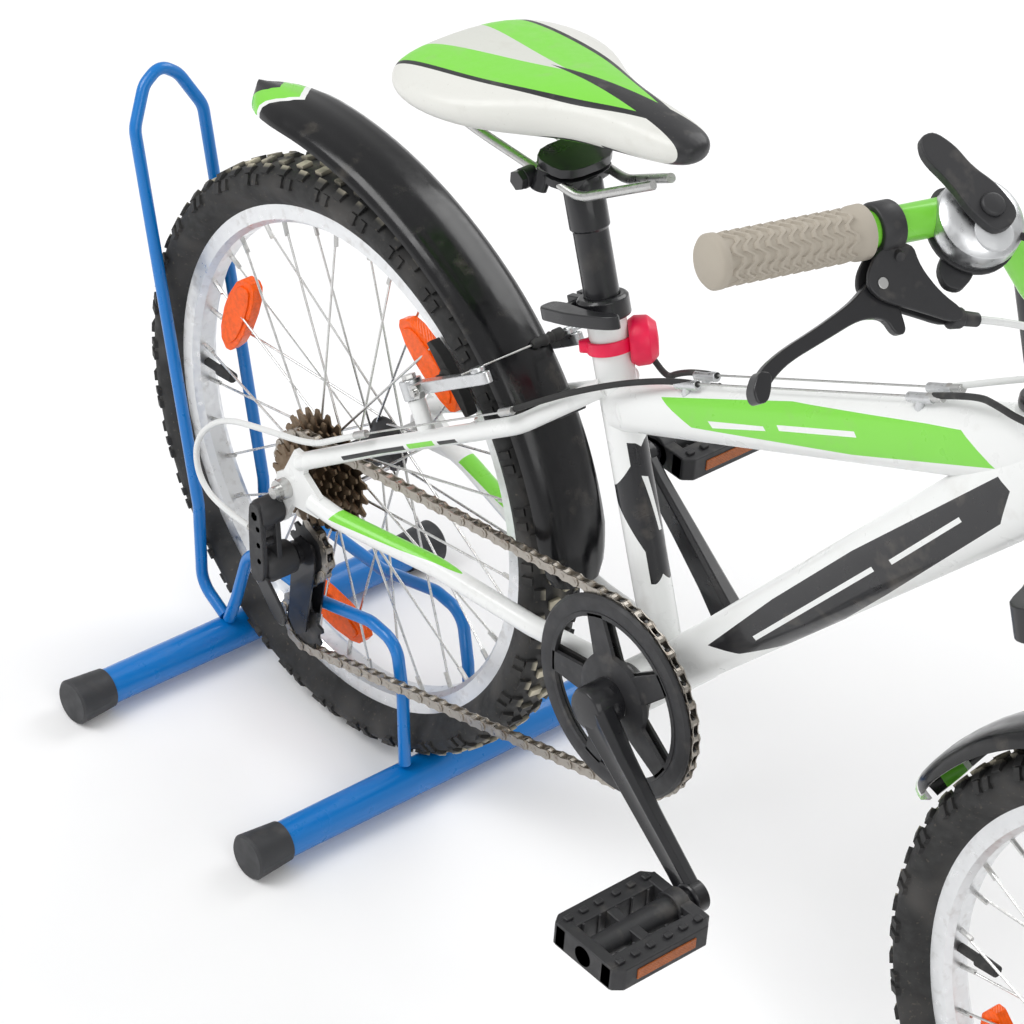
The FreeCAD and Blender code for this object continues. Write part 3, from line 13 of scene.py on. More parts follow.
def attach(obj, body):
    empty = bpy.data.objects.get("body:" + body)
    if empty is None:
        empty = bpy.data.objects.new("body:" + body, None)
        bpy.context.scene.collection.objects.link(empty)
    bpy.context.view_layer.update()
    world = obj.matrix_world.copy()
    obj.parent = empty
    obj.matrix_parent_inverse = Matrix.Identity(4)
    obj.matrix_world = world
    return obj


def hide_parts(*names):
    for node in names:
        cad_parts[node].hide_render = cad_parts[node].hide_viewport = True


bl_info = {
    "name": "Bicycle on stand",
    "version": (1, 0, 0),
    "blender": (4, 5, 0),
    "location": "3D View > Sidebar > Bicycle",
    "description": "Builds the detailed pieces and finishes of a child's bicycle on its stand",
    "category": "Object",
}

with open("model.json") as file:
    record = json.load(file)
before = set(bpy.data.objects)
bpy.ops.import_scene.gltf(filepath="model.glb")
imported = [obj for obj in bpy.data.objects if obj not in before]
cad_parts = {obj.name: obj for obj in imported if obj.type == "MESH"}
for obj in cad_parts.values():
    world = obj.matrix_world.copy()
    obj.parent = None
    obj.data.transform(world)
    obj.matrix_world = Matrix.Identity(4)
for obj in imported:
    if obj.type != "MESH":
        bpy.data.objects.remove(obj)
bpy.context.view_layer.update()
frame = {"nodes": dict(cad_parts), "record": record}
JOINTS = {joint["name"]: joint for joint in frame["record"]["behaviour"]["joints"]}
MM = 0.001
AXLE = Vector(JOINTS["rear_wheel_spin"]["pos_m"])
TO_ROW = Matrix.Translation(AXLE) @ Matrix.Scale(MM, 4)
SIDE = Matrix(((1, 0, 0, 0), (0, 0, -1, 0), (0, 1, 0, 0), (0, 0, 0, 1)))
Y = Vector((0, 1, 0))
Z = Vector((0, 0, 1))
TINY = 0.01


def local(joint):
    """A joint's place, in millimetres from the rear axle."""
    return (Vector(JOINTS[joint]["pos_m"]) - AXLE) / MM


def way(joint):
    return Vector(JOINTS[joint]["axis"]).normalized()


REAR = Vector((0, 0, 0))
FRONT = local("front_wheel_spin")
BRACKET = local("crank_spin")
RIGHT_PEDAL = local("right_pedal_spin")
LEFT_PEDAL = local("left_pedal_spin")
GUIDE = local("guide_pulley_spin")
TENSION = local("tension_pulley_spin")
SWIVEL = local("cage_swing")
SEAT_UP = way("saddle_height")
HEAD_UP = way("steer")
HEAD_FORE = Y.cross(HEAD_UP)
LINE_Y = GUIDE.y
TEETH = (24, 22, 20, 18, 16, 14)
DRIVEN = 3
RING_TEETH = 38
PULLEY_TEETH = 11
PITCH = 12.7
FORK_TOP = 366
LEG_FORE = 25
LEG_SIDE = 50
SPOKES = 36
VALVE_ANGLE = 185
REFLECTOR_RADIUS = 160
WORN_RADIUS = 241.8
CASING_RADIUS = 2.3
WIRE_RADIUS = 0.8
LEAD_RADIUS = 2.6
POD_DROP = 14


# ---------------------------------------------------------------- finishes

class Finish:
    """A procedural material built up in layers on object coordinates, in metres."""

    def __init__(self, name, colour, roughness=0.4, metallic=0.0, coat=0.0, specular=0.5):
        self.material = bpy.data.materials.new(name)
        self.material.use_nodes = True
        self.tree = self.material.node_tree
        self.shader = self.tree.nodes["Principled BSDF"]
        self.shader.inputs["Base Color"].default_value = (*colour, 1)
        self.shader.inputs["Roughness"].default_value = roughness
        self.shader.inputs["Metallic"].default_value = metallic
        self.shader.inputs["Coat Weight"].default_value = coat
        self.shader.inputs["Coat Roughness"].default_value = 0.08
        self.shader.inputs["Specular IOR Level"].default_value = specular
        self.place = self.tree.nodes.new("ShaderNodeTexCoord").outputs["Object"]
        self.colour = (*colour, 1)

    def node(self, kind, **settings):
        made = self.tree.nodes.new(kind)
        for key, setting in settings.items():
            setattr(made, key, setting)
        return made

    def feed(self, socket, source):
        if isinstance(source, bpy.types.NodeSocket):
            self.tree.links.new(source, socket)
        else:
            socket.default_value = source

    def maths(self, operation, first, second=0.0):
        made = self.node("ShaderNodeMath", operation=operation)
        for socket, source in zip(made.inputs, (first, second)):
            self.feed(socket, source)
        return made.outputs[0]

    def dot(self, vector):
        made = self.node("ShaderNodeVectorMath", operation="DOT_PRODUCT")
        self.feed(made.inputs[0], self.place)
        made.inputs[1].default_value = vector
        return made.outputs["Value"]

    def noise(self, scale, detail=3.0, stretch=(1, 1, 1)):
        mapping = self.node("ShaderNodeMapping")
        mapping.inputs["Scale"].default_value = stretch
        self.feed(mapping.inputs["Vector"], self.place)
        made = self.node("ShaderNodeTexNoise")
        made.inputs["Scale"].default_value = scale
        made.inputs["Detail"].default_value = detail
        self.feed(made.inputs["Vector"], mapping.outputs["Vector"])
        return made.outputs[0]

    def band(self, source, low, high):
        """0 below low, 1 above high, straight between."""
        made = self.node("ShaderNodeMapRange")
        self.feed(made.inputs["Value"], source)
        made.inputs["From Min"].default_value = low
        made.inputs["From Max"].default_value = high
        return made.outputs[0]

    def paint(self, mask, colour):
        """Lays a colour over what is there, where the mask is 1."""
        mixer = self.node("ShaderNodeMix", data_type="RGBA")
        self.feed(mixer.inputs[0], mask)
        self.feed(mixer.inputs[6], self.colour)
        mixer.inputs[7].default_value = (*colour, 1)
        self.colour = mixer.outputs[2]
        self.feed(self.shader.inputs["Base Color"], self.colour)
        return self

    def mottle(self, colour, scale, low=0.5, high=0.75, amount=1.0, stretch=(1, 1, 1)):
        mask = self.band(self.noise(scale, 5.0, stretch), low, high)
        return self.paint(self.maths("MULTIPLY", mask, amount), colour)

    def sheen_change(self, scale, low, high):
        made = self.node("ShaderNodeMapRange")
        self.feed(made.inputs["Value"], self.noise(scale, 4.0))
        made.inputs["From Min"].default_value = 0.3
        made.inputs["From Max"].default_value = 0.7
        made.inputs["To Min"].default_value = low
        made.inputs["To Max"].default_value = high
        self.feed(self.shader.inputs["Roughness"], made.outputs[0])
        return self

    def bumps(self, scale, strength, depth=0.0002, stretch=(1, 1, 1), source=None):
        made = self.node("ShaderNodeBump")
        made.inputs["Strength"].default_value = strength
        made.inputs["Distance"].default_value = depth
        self.feed(made.inputs["Height"], source or self.noise(scale, 3.0, stretch))
        self.feed(self.shader.inputs["Normal"], made.outputs["Normal"])
        return self

    def inside(self, corners, turn=0, front=None):
        """1 inside a convex upright outline, listed anticlockwise, and ahead of a plane.

        The outline's plane is the side view turned about the vertical, in degrees.
        """
        spin = Matrix.Rotation(math.radians(turn), 3, "Z")
        flat = [spin @ Vector((x, 0, z)) for x, z in corners]
        points = [TO_ROW @ point for point in flat]
        tests = [] if front is None else [(front[0], TO_ROW @ front[1])]
        for here, there in zip(points, points[1:] + points[:1]):
            tests.append(((there - here).cross(spin @ Y).normalized(), here))
        mask = None
        for normal, point in tests:
            test = self.maths("GREATER_THAN", self.dot(normal), normal.dot(point))
            mask = test if mask is None else self.maths("MULTIPLY", mask, test)
        return mask

    def beyond(self, centre, radius):
        """1 farther than a radius from a wheel's axle in the side view."""
        middle = TO_ROW @ centre
        mapping = self.node("ShaderNodeMapping")
        mapping.inputs["Location"].default_value = (-middle.x, 0, -middle.z)
        self.feed(mapping.inputs["Vector"], self.place)
        flat = self.node("ShaderNodeVectorMath", operation="MULTIPLY")
        self.feed(flat.inputs[0], mapping.outputs["Vector"])
        flat.inputs[1].default_value = (1, 0, 1)
        length = self.node("ShaderNodeVectorMath", operation="LENGTH")
        self.feed(length.inputs[0], flat.outputs[0])
        return self.band(length.outputs["Value"], (radius - 1.5) * MM, (radius + 1.5) * MM)


FINISHES = {}


def painted(name, colour, panels=(), dirt=0.25):
    """Gloss enamel under clear coat, with faint road dirt and coloured side panels."""
    made = Finish(name, colour, roughness=0.34, coat=0.35, specular=0.35)
    for shade, corners, *facing in panels:
        made.paint(made.inside(corners, *facing), shade)
    made.mottle((0.35, 0.30, 0.24), 38, 0.60, 0.85, dirt)
    made.mottle((0.20, 0.16, 0.12), 420, 0.68, 0.80, dirt)
    made.sheen_change(60, 0.24, 0.42).bumps(900, 0.05, 0.00005)
    return made.material


def moulded(name, colour, roughness=0.5, grain=1400, depth=0.12, dust=0.25):
    """Moulded plastic or rubber with a fine grain and pale dust in it."""
    made = Finish(name, colour, roughness)
    made.mottle((0.30, 0.27, 0.23), 55, 0.58, 0.85, dust)
    made.sheen_change(90, roughness - 0.1, roughness + 0.12).bumps(grain, depth, 0.0001)
    return made.material


def metal(name, colour, roughness=0.3, stain=(0.16, 0.10, 0.05), stained=0.2, grain=600):
    """Bare or plated metal, brushed a little, with stains in patches."""
    made = Finish(name, colour, roughness, metallic=1.0)
    made.mottle(stain, 120, 0.55, 0.80, stained)
    made.sheen_change(200, roughness - 0.08, roughness + 0.15)
    made.bumps(grain, 0.08, 0.00005, (1, 6, 1))
    return made.material


GREEN = (0.205, 0.650, 0.055)
BLACK = (0.012, 0.012, 0.014)
WHITE = (0.80, 0.81, 0.80)


def make_finishes(colours):
    green = tuple(colours.green)
    white = tuple(colours.frame)
    slanted = ((336, 252), (371, 248), (517, 310), (636, 369), (604, 380), (575, 368), (455, 315))
    top_panels = [(green, slanted),
                  (white, ((391, 259), (440, 285), (437, 287), (386, 262))),
                  (white, ((452, 292), (520, 326), (517, 329), (449, 295)))]
    down_panels = [(BLACK, ((411, 86), (440, 96), (489, 133), (561, 222), (529, 240), (465, 160))),
                   (BLACK, ((529, 240), (561, 222), (648, 334), (652, 362), (640, 366))),
                   (white, ((455, 118), (552, 238), (549, 240), (452, 120))),
                   (white, ((566, 252), (618, 318), (615, 320), (563, 254)))]
    pennant = ((200, 151), (248, 93), (262, 93), (240, 200), (220, 193))
    stripe = ((223, 168), (229, 128), (232, 129), (226, 170))
    seat_panels = []
    for sign in (1, -1):
        front = (Vector((1, -sign, 0.3817)).normalized(), BRACKET - Y * sign * 2)
        seat_panels += [(BLACK, pennant, 45 * sign, front), (white, stripe, 45 * sign, front)]
    stay_green = [(green, ((55, 3), (121, 9), (212, 15), (219, 20), (201, 29), (114, 23),
                           (61, 14)))]
    stay_marks = [(BLACK, ((60, 58), (120, 99), (118, 102), (58, 61))),
                  (green, ((124, 102), (150, 119.5), (147, 122.5), (121, 105))),
                  (BLACK, ((154, 122), (172, 134), (170, 136.5), (152, 124.5)))]
    FINISHES.update(
        frame=painted("Frame white enamel", white),
        top_tube=painted("Top tube enamel", white, top_panels),
        down_tube=painted("Down tube enamel", white, down_panels),
        seat_tube=painted("Seat tube enamel", white, seat_panels),
        chain_stay=painted("Chain stay enamel", white, stay_green),
        seat_stay=painted("Seat stay enamel", white, stay_marks),
        bar=painted("Green bar enamel", green, dirt=0.05),
        stand=painted("Blue stand enamel", tuple(colours.stand), dirt=0.05),
        black_paint=painted("Black enamel", BLACK, dirt=0.10),
        plastic=moulded("Black moulded plastic", (0.020, 0.020, 0.022)),
        cap=moulded("End cap plastic", (0.030, 0.031, 0.034), 0.55, 700, 0.25, 0.12),
        rubber=moulded("Black rubber", (0.022, 0.022, 0.022), 0.7, 900, 0.2),
        grip=moulded("Grip rubber", tuple(colours.grip), 0.75, 1600, 0.2, 0.15),
        rim=metal("Rim alloy", (0.78, 0.79, 0.80), 0.34, (0.30, 0.26, 0.22), 0.35),
        alloy=metal("Cast alloy", (0.62, 0.63, 0.64), 0.30, (0.20, 0.17, 0.14), 0.35),
        steel=metal("Zinc-plated steel", (0.55, 0.55, 0.54), 0.28, (0.22, 0.13, 0.06), 0.4),
        spoke=metal("Spoke steel", (0.66, 0.66, 0.65), 0.25),
        chain=metal("Chain steel", (0.40, 0.37, 0.33), 0.32, (0.12, 0.065, 0.03), 0.75),
        sprocket=metal("Worn sprocket steel", (0.21, 0.155, 0.105), 0.45,
                       (0.09, 0.04, 0.015), 0.9),
        ring=painted("Black ring enamel", (0.020, 0.020, 0.020), dirt=0.25),
        orange=reflector("Orange reflector", tuple(colours.reflector)),
        amber=reflector("Amber pedal reflector", (0.38, 0.10, 0.02)),
        pink=silicone("Pink silicone", tuple(colours.light)),
        tyre_rear=tyre_rubber("Rear tyre rubber", REAR),
        tyre_front=tyre_rubber("Front tyre rubber", FRONT),
        guard_rear=guard_plastic("Rear mudguard plastic", green, REAR, 106.5, white),
        guard_front=guard_plastic("Front mudguard plastic", green, FRONT, 150.5, white),
        saddle=saddle_skin("Saddle cover", green),
        clear=moulded("Indicator window", (0.55, 0.56, 0.57), 0.15, 200, 0.0, 0.0),
        white_casing=moulded("White cable casing", (0.72, 0.73, 0.72), 0.35, 500, 0.05, 0.15),
    )


def reflector(name, colour):
    """Prismatic plastic: fine ribs both ways in a clear gloss face."""
    made = Finish(name, colour, roughness=0.25, specular=0.3)
    made.mottle(tuple(shade * 0.55 for shade in colour), 260, 0.35, 0.75, 0.6)
    wave = made.node("ShaderNodeTexWave", wave_type="BANDS", bands_direction="DIAGONAL")
    wave.inputs["Scale"].default_value = 260
    made.feed(wave.inputs["Vector"], made.place)
    made.bumps(0, 0.35, 0.0004, source=wave.outputs[1])
    return made.material


def silicone(name, colour):
    made = Finish(name, colour, roughness=0.38)
    made.shader.inputs["Subsurface Weight"].default_value = 0.15
    made.shader.inputs["Subsurface Radius"].default_value = (0.004, 0.001, 0.001)
    made.mottle(tuple(shade * 0.7 for shade in colour), 70, 0.45, 0.8, 0.6)
    made.sheen_change(150, 0.3, 0.5).bumps(700, 0.06)
    return made.material


def tyre_rubber(name, centre):
    """Black rubber whose tread has worn pale in patches and whose walls carry dust."""
    made = Finish(name, (0.018, 0.018, 0.018), roughness=0.72)
    made.mottle((0.13, 0.12, 0.11), 30, 0.50, 0.85, 0.5)
    tread = made.beyond(centre, WORN_RADIUS)
    cream = made.band(made.noise(22, 4.0), 0.40, 0.56)
    made.paint(made.maths("MULTIPLY", tread, cream), (0.60, 0.55, 0.42))
    made.mottle((0.17, 0.14, 0.10), 300, 0.62, 0.8, 0.45)
    made.sheen_change(120, 0.6, 0.85).bumps(1500, 0.25, 0.0002)
    return made.material


def guard_plastic(name, green, centre, angle, white):
    """Gloss black moulding with a green and white flash near its tail."""
    made = Finish(name, (0.006, 0.006, 0.007), roughness=0.2, specular=0.4)
    ray = Vector((math.cos(math.radians(angle)), 0, math.sin(math.radians(angle))))
    square = Vector((-ray.z, 0, ray.x))
    past = made.maths("SUBTRACT", made.dot(square), square.dot(TO_ROW @ centre))
    lean = made.maths("MULTIPLY", made.maths("ABSOLUTE", made.dot((0, 1, 0))), 0.9)
    tip = made.maths("SUBTRACT", past, lean)
    made.paint(made.maths("GREATER_THAN", tip, -0.004), white)
    made.paint(made.maths("GREATER_THAN", tip, 0.002), green)
    made.paint(made.maths("GREATER_THAN", tip, 0.026), (0.010, 0.010, 0.012))
    made.mottle((0.24, 0.21, 0.17), 40, 0.60, 0.85, 0.25)
    made.sheen_change(80, 0.12, 0.28).bumps(500, 0.04)
    return made.material


def saddle_skin(name, green):
    """Vinyl cover: pale flanks, a green top between black piping sweeps, a black nose."""
    made = Finish(name, (0.70, 0.70, 0.66), roughness=0.42, coat=0.15)
    start = TO_ROW @ Vector((76, 0, 0))
    along = made.maths("SUBTRACT", made.dot((1, 0, 0)), start.x)
    off = made.maths("ABSOLUTE", made.dot((0, 1, 0)))
    # half-width of the green top narrows from the tail to the nose
    edge = made.maths("SUBTRACT", 0.052, made.maths("MULTIPLY", along, 0.19))
    sweep = made.maths("MULTIPLY", made.maths("SINE", made.maths("MULTIPLY", along, 17.0)), 0.008)
    edge = made.maths("ADD", edge, sweep)
    gap = made.maths("SUBTRACT", edge, off)
    made.paint(made.maths("GREATER_THAN", gap, -0.0045), BLACK)
    made.paint(made.maths("GREATER_THAN", gap, 0.0), green)
    # a pale tongue from the tail, and a black one that widens towards the nose
    pale = made.maths("SUBTRACT", 0.026, made.maths("MULTIPLY", along, 0.20))
    tongue = made.maths("GREATER_THAN", made.maths("SUBTRACT", pale, off), 0.0)
    made.paint(tongue, (0.62, 0.63, 0.58))
    dark = made.maths("MULTIPLY", made.maths("SUBTRACT", along, 0.110), 0.10)
    made.paint(made.maths("GREATER_THAN", made.maths("SUBTRACT", dark, off), 0.0), BLACK)
    low = made.maths("SUBTRACT", made.maths("MULTIPLY", along, 0.10), made.dot((0, 0, 1)))
    rim = made.maths("GREATER_THAN", low, 0.020 - (TO_ROW @ Vector((76, 0, 422))).z)
    made.paint(made.maths("MULTIPLY", rim, made.maths("GREATER_THAN", along, 0.19)), BLACK)
    made.mottle((0.42, 0.39, 0.33), 60, 0.58, 0.85, 0.25)
    made.mottle((0.25, 0.22, 0.18), 500, 0.66, 0.8, 0.3)
    made.sheen_change(90, 0.34, 0.55).bumps(2200, 0.22, 0.00012)
    return made.material


# ---------------------------------------------------------------- shape helpers

def axes(origin, x, z):
    """Matrix whose z is as given and whose x is as near to x as that allows."""
    z = z.normalized()
    x = (x - z * x.dot(z)).normalized()
    y = z.cross(x)
    turn = Matrix((x, y, z)).transposed().to_4x4()
    return Matrix.Translation(origin) @ turn


def ring(bm, points):
    """Closed loop of edges through the points."""
    verts = [bm.verts.new(point) for point in points]
    return verts, [bm.edges.new(pair) for pair in zip(verts, verts[1:] + verts[:1])]


def lathe(bm, profile, centre, direction, steps=48, closed=False):
    """Turns a profile of (radius, distance along) fully about an axis."""
    direction = direction.normalized()
    across = direction.orthogonal().normalized()
    verts = [bm.verts.new(centre + across * radius + direction * along)
             for radius, along in profile]
    pairs = zip(verts, verts[1:] + verts[:1] if closed else verts[1:])
    edges = [bm.edges.new(pair) for pair in pairs]
    bmesh.ops.spin(bm, geom=verts + edges, cent=centre, axis=direction, dvec=(0, 0, 0),
                   angle=math.tau, steps=steps, use_merge=True, use_normal_flip=False,
                   use_duplicate=False)


def thicken(bm, faces, thickness, place):
    """Gives flat faces in the x-y plane a thickness along z and puts them in place."""
    under = {vert for face in faces for vert in face.verts}
    made = bmesh.ops.extrude_face_region(bm, geom=faces, use_keep_orig=True)
    top = [item for item in made["geom"] if isinstance(item, bmesh.types.BMVert)]
    bmesh.ops.translate(bm, verts=top, vec=(0, 0, thickness))
    bmesh.ops.transform(bm, matrix=place, verts=list(under) + top)


def prism(bm, outline, thickness, place):
    verts = [bm.verts.new((x, y, 0)) for x, y in outline]
    thicken(bm, [bm.faces.new(verts)], thickness, place)


def flat_ring(bm, outer, inner, thickness, place):
    """Flat plate between two outlines with equal numbers of points."""
    edges = []
    for outline in (outer, inner):
        edges += ring(bm, [(x, y, 0) for x, y in outline])[1]
    faces = bmesh.ops.bridge_loops(bm, edges=edges)["faces"]
    thicken(bm, faces, thickness, place)


def loft(bm, loops, caps=True):
    """Skin through closed loops of equal counts."""
    rings = [ring(bm, points) for points in loops]
    for (_, here), (_, there) in zip(rings, rings[1:]):
        bmesh.ops.bridge_loops(bm, edges=here + there)
    if caps:
        bm.faces.new(rings[0][0])
        bm.faces.new(rings[-1][0])


def rod(bm, start, end, radius, end_radius=None, segments=20):
    run = end - start
    turn = run.to_track_quat("Z", "Y").to_matrix().to_4x4()
    bmesh.ops.create_cone(bm, cap_ends=True, segments=segments, radius1=radius,
                          radius2=radius if end_radius is None else end_radius,
                          depth=run.length,
                          matrix=Matrix.Translation((start + end) / 2) @ turn)


def block(bm, place, length, width, height):
    size = Matrix.Diagonal((length, width, height, 1))
    bmesh.ops.create_cube(bm, size=1, matrix=place @ size)


def circle(radius, count):
    return [(radius * math.cos(math.tau * step / count),
             radius * math.sin(math.tau * step / count)) for step in range(count)]


def softened(outline, passes=2):
    """Corner-cut outline, for plates with rounded corners."""
    for _ in range(passes):
        cut = []
        for here, there in zip(outline, outline[1:] + outline[:1]):
            for share in (0.22, 0.78):
                cut.append(tuple(a + (b - a) * share for a, b in zip(here, there)))
        outline = cut
    return outline


def on_rim(centre, radius, angle, y=0.0):
    """Point in a wheel, by its radius and its angle above forward in degrees."""
    turn = math.radians(angle)
    return centre + Vector((radius * math.cos(turn), y, radius * math.sin(turn)))


def hexagon(bm, start, end, radius):
    rod(bm, start, end, radius, segments=6)


def finish(name, bm, body, materials, replaces=(), bevel=0.0, levels=0, sharp=38):
    """Makes a bmesh in millimetres a piece of the model, riding on a body."""
    bmesh.ops.remove_doubles(bm, verts=bm.verts[:], dist=TINY)
    bmesh.ops.recalc_face_normals(bm, faces=bm.faces[:])
    bmesh.ops.transform(bm, matrix=TO_ROW, verts=bm.verts[:])
    mesh = bpy.data.meshes.new(name)
    bm.to_mesh(mesh)
    bm.free()
    for material in materials if isinstance(materials, (list, tuple)) else [materials]:
        mesh.materials.append(FINISHES[material])
    mesh.shade_smooth()
    mesh.set_sharp_from_angle(angle=math.radians(sharp))
    piece = bpy.data.objects.new(name, mesh)
    bpy.context.scene.collection.objects.link(piece)
    if bevel:
        edge = piece.modifiers.new("Edge", "BEVEL")
        edge.width = bevel * MM
        edge.segments = 2
        edge.limit_method = "ANGLE"
        edge.angle_limit = math.radians(35)
        edge.harden_normals = True
    if levels:
        smooth = piece.modifiers.new("Smooth", "SUBSURF")
        smooth.levels = smooth.render_levels = levels
    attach(piece, body)
    if replaces:
        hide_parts(*([replaces] if isinstance(replaces, str) else replaces))
    return piece


def wire(name, points, radius, body, material, replaces=(), straight=False):
    """Cable, casing or bent tube on a smooth curve; points in millimetres."""
    curve = bpy.data.curves.new(name, "CURVE")
    curve.dimensions = "3D"
    curve.bevel_depth = radius * MM
    curve.bevel_resolution = 4
    curve.resolution_u = 12
    curve.use_fill_caps = True
    spline = curve.splines.new("POLY" if straight else "NURBS")
    spline.points.add(len(points) - 1)
    for knot, point in zip(spline.points, points):
        knot.co = (*(TO_ROW @ Vector(point)), 1)
    if not straight:
        spline.order_u = 3
        spline.use_endpoint_u = True
    curve.materials.append(FINISHES[material])
    piece = bpy.data.objects.new(name, curve)
    bpy.context.scene.collection.objects.link(piece)
    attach(piece, body)
    if replaces:
        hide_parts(replaces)
    return piece


def dress(finish_name, *nodes):
    """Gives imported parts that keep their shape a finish."""
    for name in nodes:
        part = frame["nodes"][name]
        for slot in part.material_slots:
            slot.material = FINISHES[finish_name]


# ---------------------------------------------------------------- stage

def make_stage():
    scene = bpy.context.scene
    bm = bmesh.new()
    bmesh.ops.create_grid(bm, x_segments=1, y_segments=1, size=9)
    mesh = bpy.data.meshes.new("floor")
    bm.to_mesh(mesh)
    bm.free()
    floor = bpy.data.objects.new("floor", mesh)
    scene.collection.objects.link(floor)
    pale = bpy.data.materials.new("Pale floor")
    pale.use_nodes = True
    shader = pale.node_tree.nodes["Principled BSDF"]
    shader.inputs["Base Color"].default_value = (0.93, 0.93, 0.935, 1)
    shader.inputs["Roughness"].default_value = 0.75
    shader.inputs["Specular IOR Level"].default_value = 0.2
    mesh.materials.append(pale)

    world = bpy.data.worlds.new("Studio")
    scene.world = world
    world.use_nodes = True
    world.node_tree.nodes["Background"].inputs["Color"].default_value = (1, 1, 1, 1)
    world.node_tree.nodes["Background"].inputs["Strength"].default_value = 0.62
    lights = (("key", (-1.6, -2.4, 3.4), 2.2, 82), ("fill", (3.0, -1.2, 2.4), 2.4, 34),
              ("back", (-0.4, 3.0, 2.8), 2.4, 58))
    for name, spot, size, power in lights:
        data = bpy.data.lights.new(name, "AREA")
        data.size = size
        data.energy = power
        lamp = bpy.data.objects.new(name, data)
        lamp.location = spot
        aim = Vector((0, 0, 0.4)) - Vector(spot)
        lamp.rotation_euler = aim.to_track_quat("-Z", "Y").to_euler()
        scene.collection.objects.link(lamp)

    data = bpy.data.cameras.new("camera")
    data.sensor_width = 36
    data.lens = 137.4
    camera = bpy.data.objects.new("camera", data)
    camera.location = AXLE + Vector((1.8923, -1.58676, 1.7591))
    camera.rotation_euler = tuple(math.radians(turn) for turn in (53.80, -3.54, 49.74))
    scene.collection.objects.link(camera)
    scene.camera = camera
    scene.view_settings.view_transform = "Standard"


# ---------------------------------------------------------------- stand and frame

def make_stand():
    dress("stand", "stand_bars", "stand_hoop", "stand_rails")
    dress("cap", "stand_end_caps")


def superellipse(half_high, half_wide, power=2.6, count=28):
    """Section outline as (up, across) pairs."""
    outline = []
    for step in range(count):
        turn = math.tau * step / count
        up, across = math.cos(turn), math.sin(turn)
        outline.append((math.copysign(abs(up) ** (2 / power), up) * half_high,
                        math.copysign(abs(across) ** (2 / power), across) * half_wide))
    return outline


def oval_tube(name, start, end, rear_high, front_high, rear_wide, front_wide, material):
    """Tapering oval tube, its ends hidden in the tubes that it meets."""
    run = end - start
    up = run.cross(Y).normalized()
    up = up if up.z > 0 else -up
    loops = []
    steps = 12
    for step in range(steps + 1):
        share = step / steps
        high = rear_high + (front_high - rear_high) * share
        wide = rear_wide + (front_wide - rear_wide) * share
        centre = start + run * share
        loops.append([centre + up * rise + Y * across
                      for rise, across in superellipse(high, wide)])
    bm = bmesh.new()
    loft(bm, loops)
    finish(name, bm, "frame", material, replaces=name, sharp=60)


def weld(name, centre, direction, radius, bead):
    """Fillet of weld metal round a tube where it meets another."""
    bm = bmesh.new()
    lathe(bm, [(radius + bead * math.cos(turn), bead * 1.4 * math.sin(turn))
               for turn in (math.tau * step / 10 for step in range(10))],
          centre, direction, 40, closed=True)
    finish(name, bm, "frame", "frame", sharp=80)


def head_point(distance):
    """Point on the steering axis, by its distance up from beside the front axle."""
    return FRONT + HEAD_UP * distance - HEAD_FORE * 38


def make_frame():
    dress("frame", "head_tube", "bottom_bracket_shell")
    dress("seat_tube", "seat_tube")
    dress("chain_stay", "right_chain_stay", "left_chain_stay")
    dress("seat_stay", "right_seat_stay", "left_seat_stay")
    dress("steel", "rear_axle", "front_axle", "crank_spindle", "saddle_rails")
    dress("black_paint", "stem")
    dress("bar", "handlebar")
    seat_join = BRACKET + SEAT_UP * 204
    oval_tube("top_tube", seat_join, head_point(442), 17.5, 26.5, 16, 17.5, "top_tube")
    foot = BRACKET + (head_point(427) - BRACKET).normalized() * 12
    oval_tube("down_tube", foot, head_point(427), 18, 31.5, 17.5, 18.5, "down_tube")
    bm = bmesh.new()
    for start, end in (((346, -9, 266), (366, -9, 276)), ((552, -9, 372), (572, -9, 382))):
        for side in (1, -1):
            low = Vector((start[0], start[1] * side, start[2] + 1))
            high = Vector((end[0], end[1] * side, end[2] + 1))
            rod(bm, low, high, 3.6)
            middle = (low + high) / 2
            rod(bm, middle, middle - Z * 9, 3.2)
    finish("cable_stops", bm, "frame", "alloy", bevel=0.6)
    weld("seat_weld", seat_join + (head_point(442) - seat_join).normalized() * 15.5,
         head_point(442) - seat_join, 15.5, 1.8)


def leg_point(rise, side, across=LEG_SIDE):
    """Point on a fork leg's line, or beside it, by its distance up and its side."""
    return head_point(rise) + HEAD_FORE * LEG_FORE + Y * across * side


